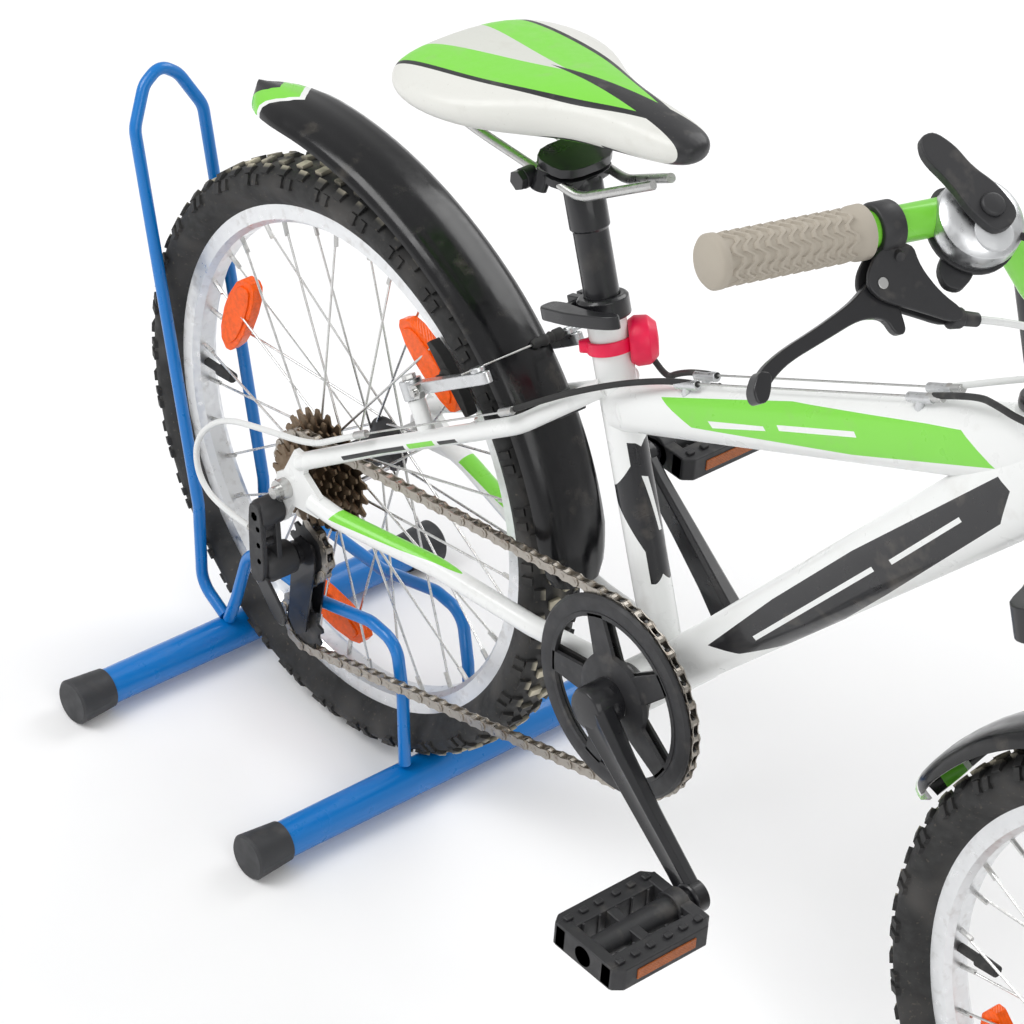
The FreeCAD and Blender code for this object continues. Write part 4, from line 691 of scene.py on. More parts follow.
def make_fork():
    """Shouldered crown on steel stanchions, and lower legs with seals, arch and posts."""
    bm = bmesh.new()
    half = [(67, -8), (63, -24), (50, -29), (36, -27), (18, -19)]
    rear = [(24, 27), (36, 16), (60, 7)]
    outline = half + [(-y, fore) for y, fore in half[::-1] + [(66, 0)] + rear[::-1]]
    outline += rear + [(66, 0)]
    low = FORK_TOP - 26
    place = axes(head_point(low) + HEAD_FORE * 12.5, Y, HEAD_UP)
    prism(bm, softened(outline, 1), 24, place)
    lathe(bm, [(0, 0), (14.3, 0), (14.3, 105), (19, 105), (19, 109), (17, 114), (0, 114)],
          head_point(FORK_TOP), HEAD_UP, 40)
    lathe(bm, [(14.2, -2), (21, -2), (21, 0), (18.8, 2), (14.2, 2)], head_point(FORK_TOP),
          HEAD_UP, 40, closed=True)
    for side in (-1, 1):
        cap = leg_point(FORK_TOP - 2, side)
        lathe(bm, [(0, 0), (11, 0), (9.5, 2.5), (0, 3)], cap, HEAD_UP, 28)
    finish("fork_crown_shoulders", bm, "steering", "black_paint",
           replaces="fork_crown", bevel=1.8)
    bm = bmesh.new()
    for side in (-1, 1):
        foot = leg_point(0, side)
        rod(bm, foot + HEAD_UP * 120, foot + HEAD_UP * (low + 4), 12.6, segments=32)
    finish("fork_stanchions", bm, "steering", "steel")
    bm = bmesh.new()
    seals = bmesh.new()
    for side in (-1, 1):
        foot = leg_point(0, side)
        lathe(bm, [(0, 8), (9, 8), (12, 14), (15, 22), (16, 60), (16, 210), (17, 222), (17, 258),
                   (15, 260), (12.9, 260)], foot, HEAD_UP, 40)
        lathe(seals, [(12.8, 259), (16.5, 259), (16.8, 262), (15, 264.5), (13.4, 268),
                      (12.8, 268)], foot, HEAD_UP, 32, closed=True)
        plate = softened([(-14, 26), (14, 26), (12, -4), (22, -16), (16, -27), (-2, -24),
                          (-12, -6)], 1)
        prism(bm, plate, 8, axes(foot - Y * 4, HEAD_FORE, Y))
        post = leg_point(178, side, 44)
        lathe(bm, [(0, 0), (9, 0), (7, 14), (6.5, 30), (3.9, 30), (3.9, 45), (0, 45)], post,
              HEAD_FORE, 28)
    section = [(-5, -8), (5, -8), (6, 0), (5, 8), (-5, 8), (-6, 0)]
    loops = []
    for y, rise in ((-50, 240), (-47, 262), (-36, 279), (-18, 285), (0, 286), (18, 285),
                    (36, 279), (47, 262), (50, 240)):
        lean = math.radians(78 * -y / 50)
        centre = head_point(rise) + HEAD_FORE * 31 + Y * y
        across = HEAD_UP * math.cos(lean) - Y * math.sin(lean)
        loops.append([centre + across * a + HEAD_FORE * b for a, b in section])
    loft(bm, loops)
    finish("fork_lower_legs", bm, "fork_lowers", "black_paint",
           replaces="fork_lowers", bevel=1.2)
    finish("fork_seals", seals, "fork_lowers", "rubber")


# ---------------------------------------------------------------- wheels

def make_tyre(name, centre, body, material, knobs, height):
    bm = bmesh.new()
    half = [(209, 12), (213, 16.5), (219, 21.5), (226, 23.8), (232, 23.6), (236.5, 20.5),
            (239.3, 14), (240.4, 7)]
    profile = [(radius, -y) for radius, y in half] + [(240.8, 0)] + half[::-1]
    lathe(bm, profile, centre, Y, 120, closed=True)
    for number in range(knobs):
        angle = 360 * number / knobs
        step = 360 / knobs
        for y, radius, tilt, length, wide, shift in (
                (6.5, 241.2, 0.10, 7.5, 9.5, 0.0), (-6.5, 241.2, -0.10, 7.5, 9.5, 0.5),
                (17.5, 238.0, 0.62, 8.5, 8.5, 0.5), (-17.5, 238.0, -0.62, 8.5, 8.5, 0.0),
                (22.6, 231.5, 1.15, 6.0, 8.5, 0.5 * (number % 2)),
                (-22.6, 231.5, -1.15, 6.0, 8.5, 0.5 * (number % 2))):
            turn = Matrix.Rotation(-math.radians(angle + shift * step), 4, "Y")
            spot = (Matrix.Translation(centre) @ turn @ Matrix.Translation((radius, y, 0))
                    @ Matrix.Rotation(tilt, 4, "Z"))
            block(bm, spot, height * 2, wide, length)
    replaced = "rear_tyre" if centre == REAR else "front_tyre"
    finish(name, bm, body, material, replaces=replaced, sharp=35)


def make_reflector(name, centre, body, angle):
    """Wedge reflector clipped between two spokes, orange both sides."""
    bm = bmesh.new()
    outline = softened([(-42, -8), (-20, -15), (22, -15), (44, -6), (36, 9), (0, 15), (-34, 9)], 1)
    middle = on_rim(centre, REFLECTOR_RADIUS, angle)
    tangent = on_rim(centre, 1, angle + 90) - centre
    place = axes(middle - Y * 5, tangent, Y)
    prism(bm, outline, 10, place)
    inner = [(x * 0.82, y * 0.74) for x, y in outline]
    prism(bm, inner, 13, place @ Matrix.Translation((0, 0, -1.5)))
    finish(name, bm, body, "orange", bevel=1.0)


def make_wheels(knobs, height):
    for name, centre, body, angles in (("rear", REAR, "rear_wheel", (58, 264, 160)),
                                       ("front", FRONT, "front_wheel", (30, 210))):
        make_tyre(f"{name}_tyre_tread", centre, body, f"tyre_{name}", knobs, height)
        dress("rim", f"{name}_rim")
        dress("spoke", f"{name}_spokes")
        dress("alloy" if name == "front" else "plastic", f"{name}_hub")
        bm = bmesh.new()
        for number in range(SPOKES):
            angle = 360 * number / SPOKES
            side = 2 if number % 2 else -2
            rod(bm, on_rim(centre, 181, angle, side * 1.6), on_rim(centre, 195, angle, side), 1.9,
                segments=6)
        finish(f"{name}_nipples", bm, body, "steel")
        bm = bmesh.new()
        rod(bm, on_rim(centre, 195, VALVE_ANGLE), on_rim(centre, 166, VALVE_ANGLE), 3.4,
            segments=16)
        rod(bm, on_rim(centre, 176, VALVE_ANGLE), on_rim(centre, 158, VALVE_ANGLE), 5.2, 4.4,
            segments=16)
        finish(f"{name}_valve", bm, body, "rubber", bevel=0.5)
        for number, angle in enumerate(angles):
            make_reflector(f"{name}_reflector_{number + 1}", centre, body, angle)


# ---------------------------------------------------------------- drive

def pitch_radius(teeth):
    return PITCH / 2 / math.sin(math.pi / teeth)


def toothed(teeth, start=0.0, root=3.6, tip=3.0):
    """Outline of a sprocket: four points to a tooth."""
    radius = pitch_radius(teeth)
    step = math.tau / teeth
    outline = []
    for tooth in range(teeth):
        for share, reach in ((-0.34, -root), (-0.13, tip), (0.13, tip), (0.34, -root)):
            turn = start + (tooth + share) * step
            outline.append(((radius + reach) * math.cos(turn), (radius + reach) * math.sin(turn)))
    return outline


def side_place(centre, y):
    return Matrix.Translation((centre.x, y, centre.z)) @ SIDE


def chain_lines():
    """Tangent runs of the chain's pitch line, in order, with the wheel each one leaves."""
    sprocket, pulley = pitch_radius(TEETH[DRIVEN]), pitch_radius(PULLEY_TEETH)
    stops = ((REAR, -sprocket), (BRACKET, -pitch_radius(RING_TEETH)), (TENSION, -pulley),
             (GUIDE, pulley))
    runs = []
    for (here, turn_a), (there, turn_b) in zip(stops, stops[1:] + stops[:1]):
        gap = Vector((there.x - here.x, 0, there.z - here.z))
        heading = math.atan2(gap.z, gap.x) - math.asin((turn_b - turn_a) / gap.length)
        side = Vector((-math.sin(heading), 0, math.cos(heading)))
        flat_here = Vector((here.x, LINE_Y, here.z))
        flat_there = Vector((there.x, LINE_Y, there.z))
        runs.append((flat_here - side * turn_a, flat_there - side * turn_b, flat_there, turn_b))
    return runs


def chain_points():
    """Evenly spaced pins round the chain's closed path."""
    fine = []
    runs = chain_lines()
    for number, (start, end, centre, turn) in enumerate(runs):
        for share in range(60):
            fine.append(start.lerp(end, share / 60))
        leave = runs[(number + 1) % len(runs)][0]
        first = math.atan2(end.z - centre.z, end.x - centre.x)
        last = math.atan2(leave.z - centre.z, leave.x - centre.x)
        swing = (last - first) % math.tau if turn > 0 else -((first - last) % math.tau)
        for share in range(60):
            angle = first + swing * share / 60
            fine.append(centre + Vector((math.cos(angle), 0, math.sin(angle))) * abs(turn))
    lengths = [0.0]
    for here, there in zip(fine, fine[1:] + fine[:1]):
        lengths.append(lengths[-1] + (there - here).length)
    count = round(lengths[-1] / PITCH / 2) * 2
    pins, index = [], 0
    for number in range(count):
        target = lengths[-1] * number / count
        while lengths[index + 1] < target:
            index += 1
        share = (target - lengths[index]) / (lengths[index + 1] - lengths[index])
        pins.append(fine[index].lerp(fine[(index + 1) % len(fine)], share))
    return pins


def make_chain():
    pins = chain_points()
    bm = bmesh.new()
    outline = []
    for side in (-1, 1):
        for turn in (-90, -45, 0, 45, 90):
            angle = math.radians(turn)
            reach = 4.1
            outline.append((side * (PITCH / 2 + reach * math.cos(angle)),
                            side * reach * math.sin(angle)))
        outline.append((0, side * 3.1))
    for number, (here, there) in enumerate(zip(pins, pins[1:] + pins[:1])):
        outer = number % 2 == 0
        middle = (here + there) / 2
        for side in (1, -1):
            level = side * (3.2 if outer else 2.3)
            place = axes(middle + Y * (level - 0.4), there - here, Y)
            prism(bm, outline, 0.8, place)
        rod(bm, here - Y * 3.9, here + Y * 3.9, 1.8, segments=8)
        rod(bm, here - Y * 1.9, here + Y * 1.9, 3.8, segments=10)
    finish("chain_links", bm, "frame", "chain", replaces="chain", sharp=30)


def make_freewheel():
    bm = bmesh.new()
    for number, teeth in enumerate(TEETH):
        y = LINE_Y + (DRIVEN - number) * 5.3 + 0.9
        hole = circle(16.5 if number > 3 else 21, teeth * 4)
        flat_ring(bm, toothed(teeth, 0.1 * number), hole, 1.8, side_place(REAR, y))
    lathe(bm, [(15.3, 0), (22, 0), (22, 17), (18, 17), (18, 27), (15.3, 27)],
          Vector((0, -58, 0)), Y, 48, closed=True)
    finish("freewheel_sprockets", bm, "freewheel", "sprocket",
           replaces="freewheel", sharp=30)


def spider_plate(bm, centre, y, outer, thickness, rim_inner, hub_outer, hub_inner, arms, arm_half):
    """Ring, hub and arms of a pressed plate; y is its right face."""
    count = len(outer)
    place = side_place(centre, y + thickness)
    flat_ring(bm, outer, circle(rim_inner, count), thickness, place)
    flat_ring(bm, circle(hub_outer, 48), circle(hub_inner, 48), thickness, place)
    for number in range(arms):
        turn = Matrix.Rotation(math.radians(-30.5 + 360 * number / arms), 4, "Z")
        arm = [(hub_outer - 3, -arm_half * 1.35), (rim_inner + 2, -arm_half),
               (rim_inner + 2, arm_half), (hub_outer - 3, arm_half * 1.35)]
        prism(bm, arm, thickness, place @ turn)


def make_crank_arm(name, side, pedal):
    """Forged-look arm: lofted sections from the boss to the pedal eye, boss, cap and axle."""
    sign = -1 if side == "right" else 1
    boss = Vector((BRACKET.x, sign * 70, BRACKET.z))
    eye = Vector((pedal.x, sign * 86, pedal.z))
    run = eye - boss
    along = run.normalized()
    up = along.cross(Y).normalized()
    out = up.cross(along) * (1 if up.cross(along).y * sign > 0 else -1)
    bm = bmesh.new()
    loops = []
    for share, high, deep, bow in (
            (0.0, 15, 8.5, 0), (0.10, 14.5, 8.5, 1), (0.30, 12.2, 7.5, 1.5), (0.60, 10.8, 6.5, 1),
            (0.85, 10.2, 6.0, 0), (1.0, 10.6, 5.8, 0)):
        centre = boss + run * share + out * bow
        section = [(-1, -0.6), (-0.72, -1), (0.72, -1), (1, -0.6), (1, 0.5), (0.66, 1),
                   (0.3, 0.80), (-0.3, 0.80), (-0.66, 1), (-1, 0.5)]
        loops.append([centre + up * high * a + out * deep * b for a, b in section])
    loft(bm, loops)
    lathe(bm, [(0, 0), (17, 0), (17, 20), (15, 24), (9, 25), (0, 25)],
          Vector((BRACKET.x, sign * 55, BRACKET.z)), Y * sign, 40)
    lathe(bm, [(0, 0), (12.5, 0), (12.5, 10), (11, 12), (0, 12)],
          Vector((pedal.x, sign * 80, pedal.z)), Y * sign, 32)
    lathe(bm, [(0, 0), (8.5, 0), (8.5, 4), (7, 5), (7, 9)],
          Vector((pedal.x, sign * 91, pedal.z)), Y * sign, 24)
    finish(name, bm, "crankset", "black_paint", replaces=f"{side}_crank",
           bevel=1.2, sharp=45)


def make_crankset():
    bm = bmesh.new()
    outer = toothed(RING_TEETH)
    spider_plate(bm, BRACKET, LINE_Y - 1.2, outer, 2.4, 66, 30, 17.2, 5, 9)
    finish("chainring_teeth", bm, "crankset", "ring", replaces="chainring",
           bevel=0.25)
    bm = bmesh.new()
    centre = Vector((BRACKET.x, LINE_Y - 4, BRACKET.z))
    lathe(bm, [(63, 0), (79, 0), (79, 1.6), (77, 3.4), (72, 4), (66, 3.2), (63, 2)],
          centre, -Y, 96, closed=True)
    spider_plate(bm, BRACKET, LINE_Y - 7.6, circle(66, 60), 3.0, 62.5, 33, 17, 5, 8)
    lathe(bm, [(17, 0), (34, 0), (33, 3.6), (26, 5.2), (17, 5.6)], centre, -Y, 64, closed=True)
    finish("chain_guard_disc", bm, "crankset", "plastic", replaces="chain_guard",
           bevel=0.5)
    make_crank_arm("right_crank_arm", "right", RIGHT_PEDAL)
    make_crank_arm("left_crank_arm", "left", LEFT_PEDAL)


def make_pedal(side, pedal):
    """Moulded cage pedal with studs along its treads and amber reflectors fore and aft."""
    sign = -1 if side == "right" else 1
    near, far = 97, 188
    centre = Vector((pedal.x, sign * (near + far) / 2, pedal.z))
    level = Matrix.Translation(centre)
    bm = bmesh.new()
    rod(bm, Vector((pedal.x, sign * near, pedal.z)), Vector((pedal.x, sign * far, pedal.z)), 11,
        9, 24)
    rod(bm, Vector((pedal.x, sign * near, pedal.z)),
        Vector((pedal.x, sign * (near + 12), pedal.z)), 13.5, segments=28)
    for fore in (-1, 1):
        outer = [(-45.5, -6), (-38, -11.5), (38, -11.5), (45.5, -4), (45.5, 6), (-45.5, 6)]
        turn = axes(centre + Vector((fore * 24, 0, -9.5)), Y, Z)
        prism(bm, [(a, b * fore) for a, b in outer], 19, turn)
        for place in (-36, -22, -8, 8, 22, 36):
            for level_z in (-10.6, 10.6):
                block(bm, level @ Matrix.Translation((fore * 27, place, level_z)), 5, 6.5, 2.8)
        for place in (-30, -15, 0, 15, 30):
            block(bm, level @ Matrix.Translation((fore * 17.4, place, 0)), 2.4, 2.4, 19)
    for place in (-40.5, 40.5):
        block(bm, level @ Matrix.Translation((0, place, 0)), 58, 10, 20)
    block(bm, level @ Matrix.Translation((0, sign * 4, 0)), 46, 9, 17)
    finish(f"{side}_pedal_body", bm, f"{side}_pedal", "plastic",
           replaces=f"{side}_pedal", bevel=1.1)
    bm = bmesh.new()
    for fore in (-1, 1):
        block(bm, level @ Matrix.Translation((fore * 35.6, 0, 0)), 1.6, 54, 9)
    finish(f"{side}_pedal_reflectors", bm, f"{side}_pedal", "amber", bevel=0.5)


def make_derailleur():
    """Hanger bolt, parallelogram plates and lower body of the rear mechanism."""
    bolt = Vector((-9, -69, -23))
    lower = Vector((SWIVEL.x, -70, SWIVEL.z))
    bm = bmesh.new()
    lathe(bm, [(0, 0), (11, 0), (12, 3), (12, 17), (9.5, 21), (0, 21)], bolt, -Y, 36)
    lathe(bm, [(0, 0), (14, 0), (14, 22), (11.5, 27), (5, 28), (0, 28)],
          Vector((lower.x, -60, lower.z)), -Y, 36)
    down = lower - Vector((bolt.x, -70, bolt.z))
    for y, half in ((-74, 9.5), (-87, 8)):
        outline = softened([(-8, -half), (down.length + 9, -half - 1), (down.length + 12, 0),
                            (down.length + 6, half + 2), (-8, half), (-12, 0)])
        prism(bm, outline, 5, axes(Vector((bolt.x, y, bolt.z)), down, -Y))
    for share in (0.2, 0.5, 0.8):
        spot = Vector((bolt.x, 0, bolt.z)).lerp(Vector((lower.x, 0, lower.z)), share)
        rod(bm, Vector((spot.x + 4, -74, spot.z)), Vector((spot.x + 4, -92, spot.z)), 3.4)
    finish("derailleur_mechanism", bm, "frame", "plastic",
           replaces="derailleur_body", bevel=1.0)
    bm = bmesh.new()
    outline = softened([(-26, -7), (20, -8.5), (27, 0), (20, 8.5), (-26, 7), (-31, 0)])
    prism(bm, outline, 3, axes(lower + Vector((14, -17, -18)), Vector((1, 0, -0.9)), -Y))
    hexagon(bm, bolt - Y * 20, bolt - Y * 23, 5)
    finish("derailleur_plate", bm, "frame", "black_paint", bevel=0.8)
    dress("black_paint", "derailleur_cage")
    for name, centre in (("guide_pulley", GUIDE), ("tension_pulley", TENSION)):
        bm = bmesh.new()
        flat_ring(bm, toothed(PULLEY_TEETH, 0.2, 2.6, 2.0), circle(3, PULLEY_TEETH * 4), 2.4,
                  side_place(centre, LINE_Y + 1.2))
        lathe(bm, [(2.7, -4.8), (7.5, -4.8), (7.5, 4.8), (2.7, 4.8)], centre, Y, 24, closed=True)
        finish(f"{name}_teeth", bm, name, "plastic", replaces=name, sharp=30)


# ---------------------------------------------------------------- cockpit

def lever_axes(side):
    """Origin on the bar beside the pivot, and the outward, drop and pin directions."""
    sign = -1 if side == "right" else 1
    joint = f"{side}_lever_pull"
    pin = -way(joint)
    sweep, rise = math.radians(10), math.radians(4.1)
    out = Vector((-math.sin(sweep) * math.cos(rise), sign * math.cos(sweep) * math.cos(rise),
                  math.sin(rise)))
    drop = pin.cross(out).normalized()
    return local(joint) - out * 13 - drop * 31, out, drop, pin


def make_levers():
    for side in ("right", "left"):
        origin, out, drop, pin = lever_axes(side)
        plane = axes(origin, out, pin)

        def raised(level):
            return plane @ Matrix.Translation((0, 0, level))

        bm = bmesh.new()
        blade = softened([(4, 30), (12, 24), (21, 30), (34, 38), (58, 47), (84, 55), (101, 63),
                          (110, 74), (107, 81), (101, 78), (96, 71), (82, 63), (54, 55),
                          (30, 48), (14, 50), (9, 61), (1, 61), (2, 46)], 2)
        prism(bm, blade, 6.5, raised(-3.25))
        hook = softened([(96, 66), (104, 64), (111, 74), (110, 82), (103, 82), (99, 76)], 2)
        prism(bm, hook, 10, raised(-5))
        finish(f"{side}_lever_blade", bm, f"{side}_brake_lever", "black_paint",
               replaces=f"{side}_brake_lever", bevel=1.3)

        bm = bmesh.new()
        lathe(bm, [(11.3, -8), (14.5, -8), (15.6, -6), (15.6, 6), (14.5, 8), (11.3, 8)],
              origin, out, 40, closed=True)
        cheek = softened([(-13, 11), (9, 11), (20, 22), (23, 32), (15, 41), (-6, 50), (-31, 62),
                          (-38, 56), (-24, 42), (-15, 26)], 2)
        for low in (-7.6, 4.1):
            prism(bm, cheek, 3.5, raised(low))
        web = softened([(-13, 11), (-2, 11), (-8, 30), (-16, 42), (-31, 60), (-37, 55),
                        (-24, 40), (-16, 26)], 1)
        prism(bm, web, 9, raised(-4.5))
        start = origin - out * 31 + drop * 57
        rod(bm, start, start - out * 8 + drop * 2, 7, 6, 20)
        rod(bm, start - out * 8 + drop * 2, start - out * 19 + drop * 5, 4.6, 4.2, 20)
        rod(bm, origin + drop * 13 - out * 2, origin + drop * 19 - out * 2 + pin * 9, 3.4)
        finish(f"{side}_lever_housing", bm, "steering", "plastic",
               replaces="lever_clamps" if side == "right" else (), bevel=0.9)
        bm = bmesh.new()
        pivot = local(f"{side}_lever_pull")
        rod(bm, pivot - pin * 8.4, pivot + pin * 8.4, 3.4)
        screw = origin - out * 14 + drop * 46
        rod(bm, screw, screw - out * 8 - drop * 3, 2.2, segments=12)
        rod(bm, screw - out * 8 - drop * 3, screw - out * 11 - drop * 4, 3.6, segments=12)
        finish(f"{side}_lever_screws", bm, "steering", "steel", bevel=0.4)


def make_grips():
    """Rubber grips with zigzag ribs between two collars."""
    for side in ("right", "left"):
        origin, out, _, _ = lever_axes(side)
        end = origin + out * 118
        bm = bmesh.new()
        lathe(bm, [(0, 0), (14, 0), (16, 2), (16, 6), (14.2, 8), (14.2, 95), (16, 97), (16.2, 104),
                   (12, 105)], end, -out, 40)
        across = out.orthogonal().normalized()
        other = out.cross(across)
        count = 28
        for band in range(11):
            middle = 12.5 + band * 7.6
            loops = []
            for shift, radius in ((-2.2, 13.9), (-1.0, 15.6), (1.0, 15.6), (2.2, 13.9)):
                points = []
                for step in range(count):
                    turn = math.tau * step / count
                    wave = 2.6 if step % 4 < 2 else -2.6
                    points.append(end - out * (middle + shift + wave)
                                  + (across * math.cos(turn) + other * math.sin(turn)) * radius)
                loops.append(points)
            loft(bm, loops, caps=False)
        finish(f"{side}_grip_rubber", bm, "steering", "grip",
               replaces="grips" if side == "right" else (), sharp=50)


def make_shifter():
    """Round gear pod with its window, and the thumb lever above it."""
    top = local("shift_thumb")
    up = way("shift_thumb")
    centre = top - up * POD_DROP
    bm = bmesh.new()
    lathe(bm, [(0, -14), (19, -14), (25, -10), (27, -2), (26, 6), (22, 10), (15, 12), (0, 12.5)],
          centre, up, 44)
    finish("shifter_case", bm, "steering", "alloy", replaces="shifter_pod",
           bevel=0.6)
    bm = bmesh.new()
    fore = Vector((0.86, -0.18, -0.48)).normalized()
    window = centre + fore * 12 + up * 9
    lathe(bm, [(0, 0), (12, 0), (12, 2.4), (9, 4.2), (0, 5)], window, up, 32)
    finish("shifter_window", bm, "steering", "clear", bevel=0.3)
    bm = bmesh.new()
    lathe(bm, [(12, -18), (22, -18), (27.4, -12), (27.8, -9), (14, -9)], centre, up, 40,
          closed=True)
    lower = softened([(8, -8), (30, -11), (40, -3), (38, 7), (26, 11), (8, 9)])
    prism(bm, lower, 6, axes(centre - up * 18, Vector((0.35, -0.6, -0.3)), up))
    lathe(bm, [(11.3, -9), (15.5, -9), (15.5, 9), (11.3, 9)],
          centre - Vector((16, 0, 2)), lever_axes("right")[1], 36, closed=True)
    finish("shifter_base", bm, "steering", "plastic", bevel=0.8)
    bm = bmesh.new()
    blade = softened([(-12, -11), (8, -13), (24, -9), (40, -10), (54, -6), (56, 4), (46, 11),
                      (24, 10), (6, 13), (-12, 11), (-16, 0)])
    prism(bm, blade, 7.5, axes(top + up * 0.6, Vector((-0.82, -0.21, 0.53)), up))
    lathe(bm, [(0, 8), (8, 8), (7, 11), (0, 12)], top, up, 24)
    finish("thumb_lever_blade", bm, "thumb_lever", "plastic",
           replaces="thumb_lever", bevel=1.4)


# ---------------------------------------------------------------- saddle and post

def saddle_loops():
    """Sections of the saddle from tail to nose: crowned top, waisted sides, open flare."""
    rows = ((0, 34, 6, 11, -3), (10, 60, 12, 16, -4), (32, 75, 16, 22, -6), (62, 79, 18, 24, -7),
            (95, 73, 19, 25, -6), (125, 56, 20, 25, -2), (152, 39, 20, 24, 2),
            (180, 29, 19, 22, 3), (210, 24.5, 17, 19, 3), (238, 21, 14, 15, 2),
            (254, 16, 10, 11, 1), (262, 8, 5, 6, 0))
    loops = []
    for x, half, above, below, dip in rows:
        share = x / 262
        centre = Vector((76 + x, 0, 404 + 38 * share + dip * 0.4))
        points = []
        for turn in range(0, 360, 18):
            angle = math.radians(turn)
            across, rise = math.cos(angle), math.sin(angle)
            high = above if rise > 0 else below
            pinch = 1.0 - 0.10 * max(0.0, -rise) * (1 if half < 45 else 0.3)
            flat = abs(rise) ** 0.82
            points.append(centre + Vector((0, math.copysign(abs(across) ** 0.86, across) * half
                                           * pinch, math.copysign(flat, rise) * high)))
        loops.append(points)
    return loops


def make_saddle():
    bm = bmesh.new()
    loft(bm, saddle_loops())
    pad = finish("saddle_cover", bm, "saddle", "saddle", replaces="saddle_pad",
                 levels=2, sharp=80)
    bm = bmesh.new()
    top = BRACKET + SEAT_UP * 378
    lathe(bm, [(0, -190), (12.7, -190), (12.7, -44), (14.4, -42), (14.4, -10), (13, -6), (0, -6)],
          top, SEAT_UP, 40)
    clamp = top - SEAT_UP * 6 + Vector((-8, 0, 5))
    for level, thick in ((-6, 6), (3, 7)):
        plate = softened([(-19, -26), (19, -26), (19, 26), (-19, 26)], 2)
        prism(bm, plate, thick, axes(clamp + Z * level, Vector((1, 0, 0.06)), Z))
    bolt = Vector((clamp.x - 16, 0, clamp.z - 8))
    rod(bm, bolt - Y * 33, bolt + Y * 33, 7.5)
    for side in (-1, 1):
        hexagon(bm, bolt + Y * side * 33, bolt + Y * side * 38, 7.5)
        rod(bm, Vector((clamp.x - 6, side * 21, clamp.z)),
            Vector((clamp.x - 6, side * 26, clamp.z - 14)), 6)
    finish("seat_post", bm, "saddle", "black_paint", replaces="seatpost", bevel=0.8)

    joint = local("seat_lever_turn")
    low = BRACKET + SEAT_UP * 270
    bm = bmesh.new()
    lathe(bm, [(12.9, 16), (16.5, 16), (18.6, 14), (18.6, 1), (17.5, 0), (14.4, 0), (14.4, 13),
               (12.9, 14)], low, SEAT_UP, 44, closed=True)
    back = Y.cross(SEAT_UP)
    back = back if back.x < 0 else -back
    ear = axes(low + SEAT_UP * 8 + back * 23, back, SEAT_UP)
    for side in (-1, 1):
        block(bm, ear @ Matrix.Translation((0, side * 4.4, 0)), 15, 6, 12)
    rod(bm, low + SEAT_UP * 8 + back * 24 - Y * 20, low + SEAT_UP * 8 + back * 24 + Y * 16, 3)
    rod(bm, low + SEAT_UP * 8 + back * 24 + Y * 9, low + SEAT_UP * 8 + back * 24 + Y * 17, 7)
    finish("seat_collar_ring", bm, "frame", "black_paint", replaces="seat_collar",
           bevel=0.8)
    bm = bmesh.new()
    blade = softened([(-9, -7), (6, -8), (22, -9), (44, -7), (62, -3), (68, 3), (62, 7), (40, 3),
                      (18, 6), (4, 9), (-9, 7)], 2)
    prism(bm, blade, 10, axes(joint - SEAT_UP * 5, -back, SEAT_UP))
    finish("seat_lever_blade", bm, "seat_lever", "black_paint",
           replaces="seat_lever", bevel=2.0)

    lamp = BRACKET + SEAT_UP * 250
    face = Vector((0.60, 0.78, 0.15)).normalized()
    bm = bmesh.new()
    lathe(bm, [(0, 0), (15, 0), (18, 5), (17.5, 14), (12, 20), (0, 21)], lamp + face * 13,
          face, 36)
    lathe(bm, [(14.5, -5), (17, -5), (17.6, 0), (17, 5), (14.5, 5)], lamp, SEAT_UP, 40,
          closed=True)
    rod(bm, lamp - face * 13, lamp - face * 22, 6, 4.5, 20)
    finish("seat_tube_lamp", bm, "frame", "pink", replaces="seat_tube_light",
           bevel=1.0)


# ---------------------------------------------------------------- mudguards

def guard_loops(path, half_wide, taper_start, taper_end):
    """Arched sections along a path of (point, outward direction)."""
    loops = []
    last = len(path) - 1
    for number, (point, out) in enumerate(path):
        from_start, from_end = number / taper_start, (last - number) / taper_end
        ends = min(1.0, math.sqrt(min(1.0, from_start)) * 0.35 + 0.65)
        round_end = math.sqrt(max(0.0, 1 - (1 - min(1.0, from_end)) ** 2))
        half = half_wide * ends * max(0.12, round_end)
        section = []
        for across, rise in ((-1.0, 0.0), (-0.985, 3.5), (-0.90, 8.0), (-0.72, 11.2),
                             (-0.48, 12.8), (-0.30, 13.2), (-0.20, 14.0), (0.0, 14.2),
                             (0.20, 14.0), (0.30, 13.2), (0.48, 12.8), (0.72, 11.2),
                             (0.90, 8.0), (0.985, 3.5), (1.0, 0.0)):
            section.append(point + out * rise + Y * across * half)
        loops.append(section)
    return loops


def guard_path(centre, radius, tail, bend, start, end, steps=46):
    """Points and outward directions along a mudguard that follows a wheel, then flares."""
    hub = centre - (on_rim(centre, 1, bend) - centre) * (tail - radius)
    path = []
    for number in range(steps + 1):
        angle = start + (end - start) * number / steps
        origin, reach = (centre, radius) if angle <= bend else (hub, tail)
        point = on_rim(origin, reach, angle)
        path.append((point, (point - origin).normalized()))
    return path


def make_guard(name, path, body, material, node, taper_start, taper_end):
    bm = bmesh.new()
    rows = [[bm.verts.new(point) for point in section]
            for section in guard_loops(path, 30.5, taper_start, taper_end)]
    edges = [[bm.edges.new(pair) for pair in zip(row, row[1:])] for row in rows]
    for here, there in zip(edges, edges[1:]):
        bmesh.ops.bridge_loops(bm, edges=here + there)
    bmesh.ops.remove_doubles(bm, verts=bm.verts[:], dist=TINY)
    bmesh.ops.recalc_face_normals(bm, faces=bm.faces[:])
    bmesh.ops.solidify(bm, geom=bm.faces[:], thickness=2.2)
    finish(name, bm, body, material, replaces=node, sharp=55)


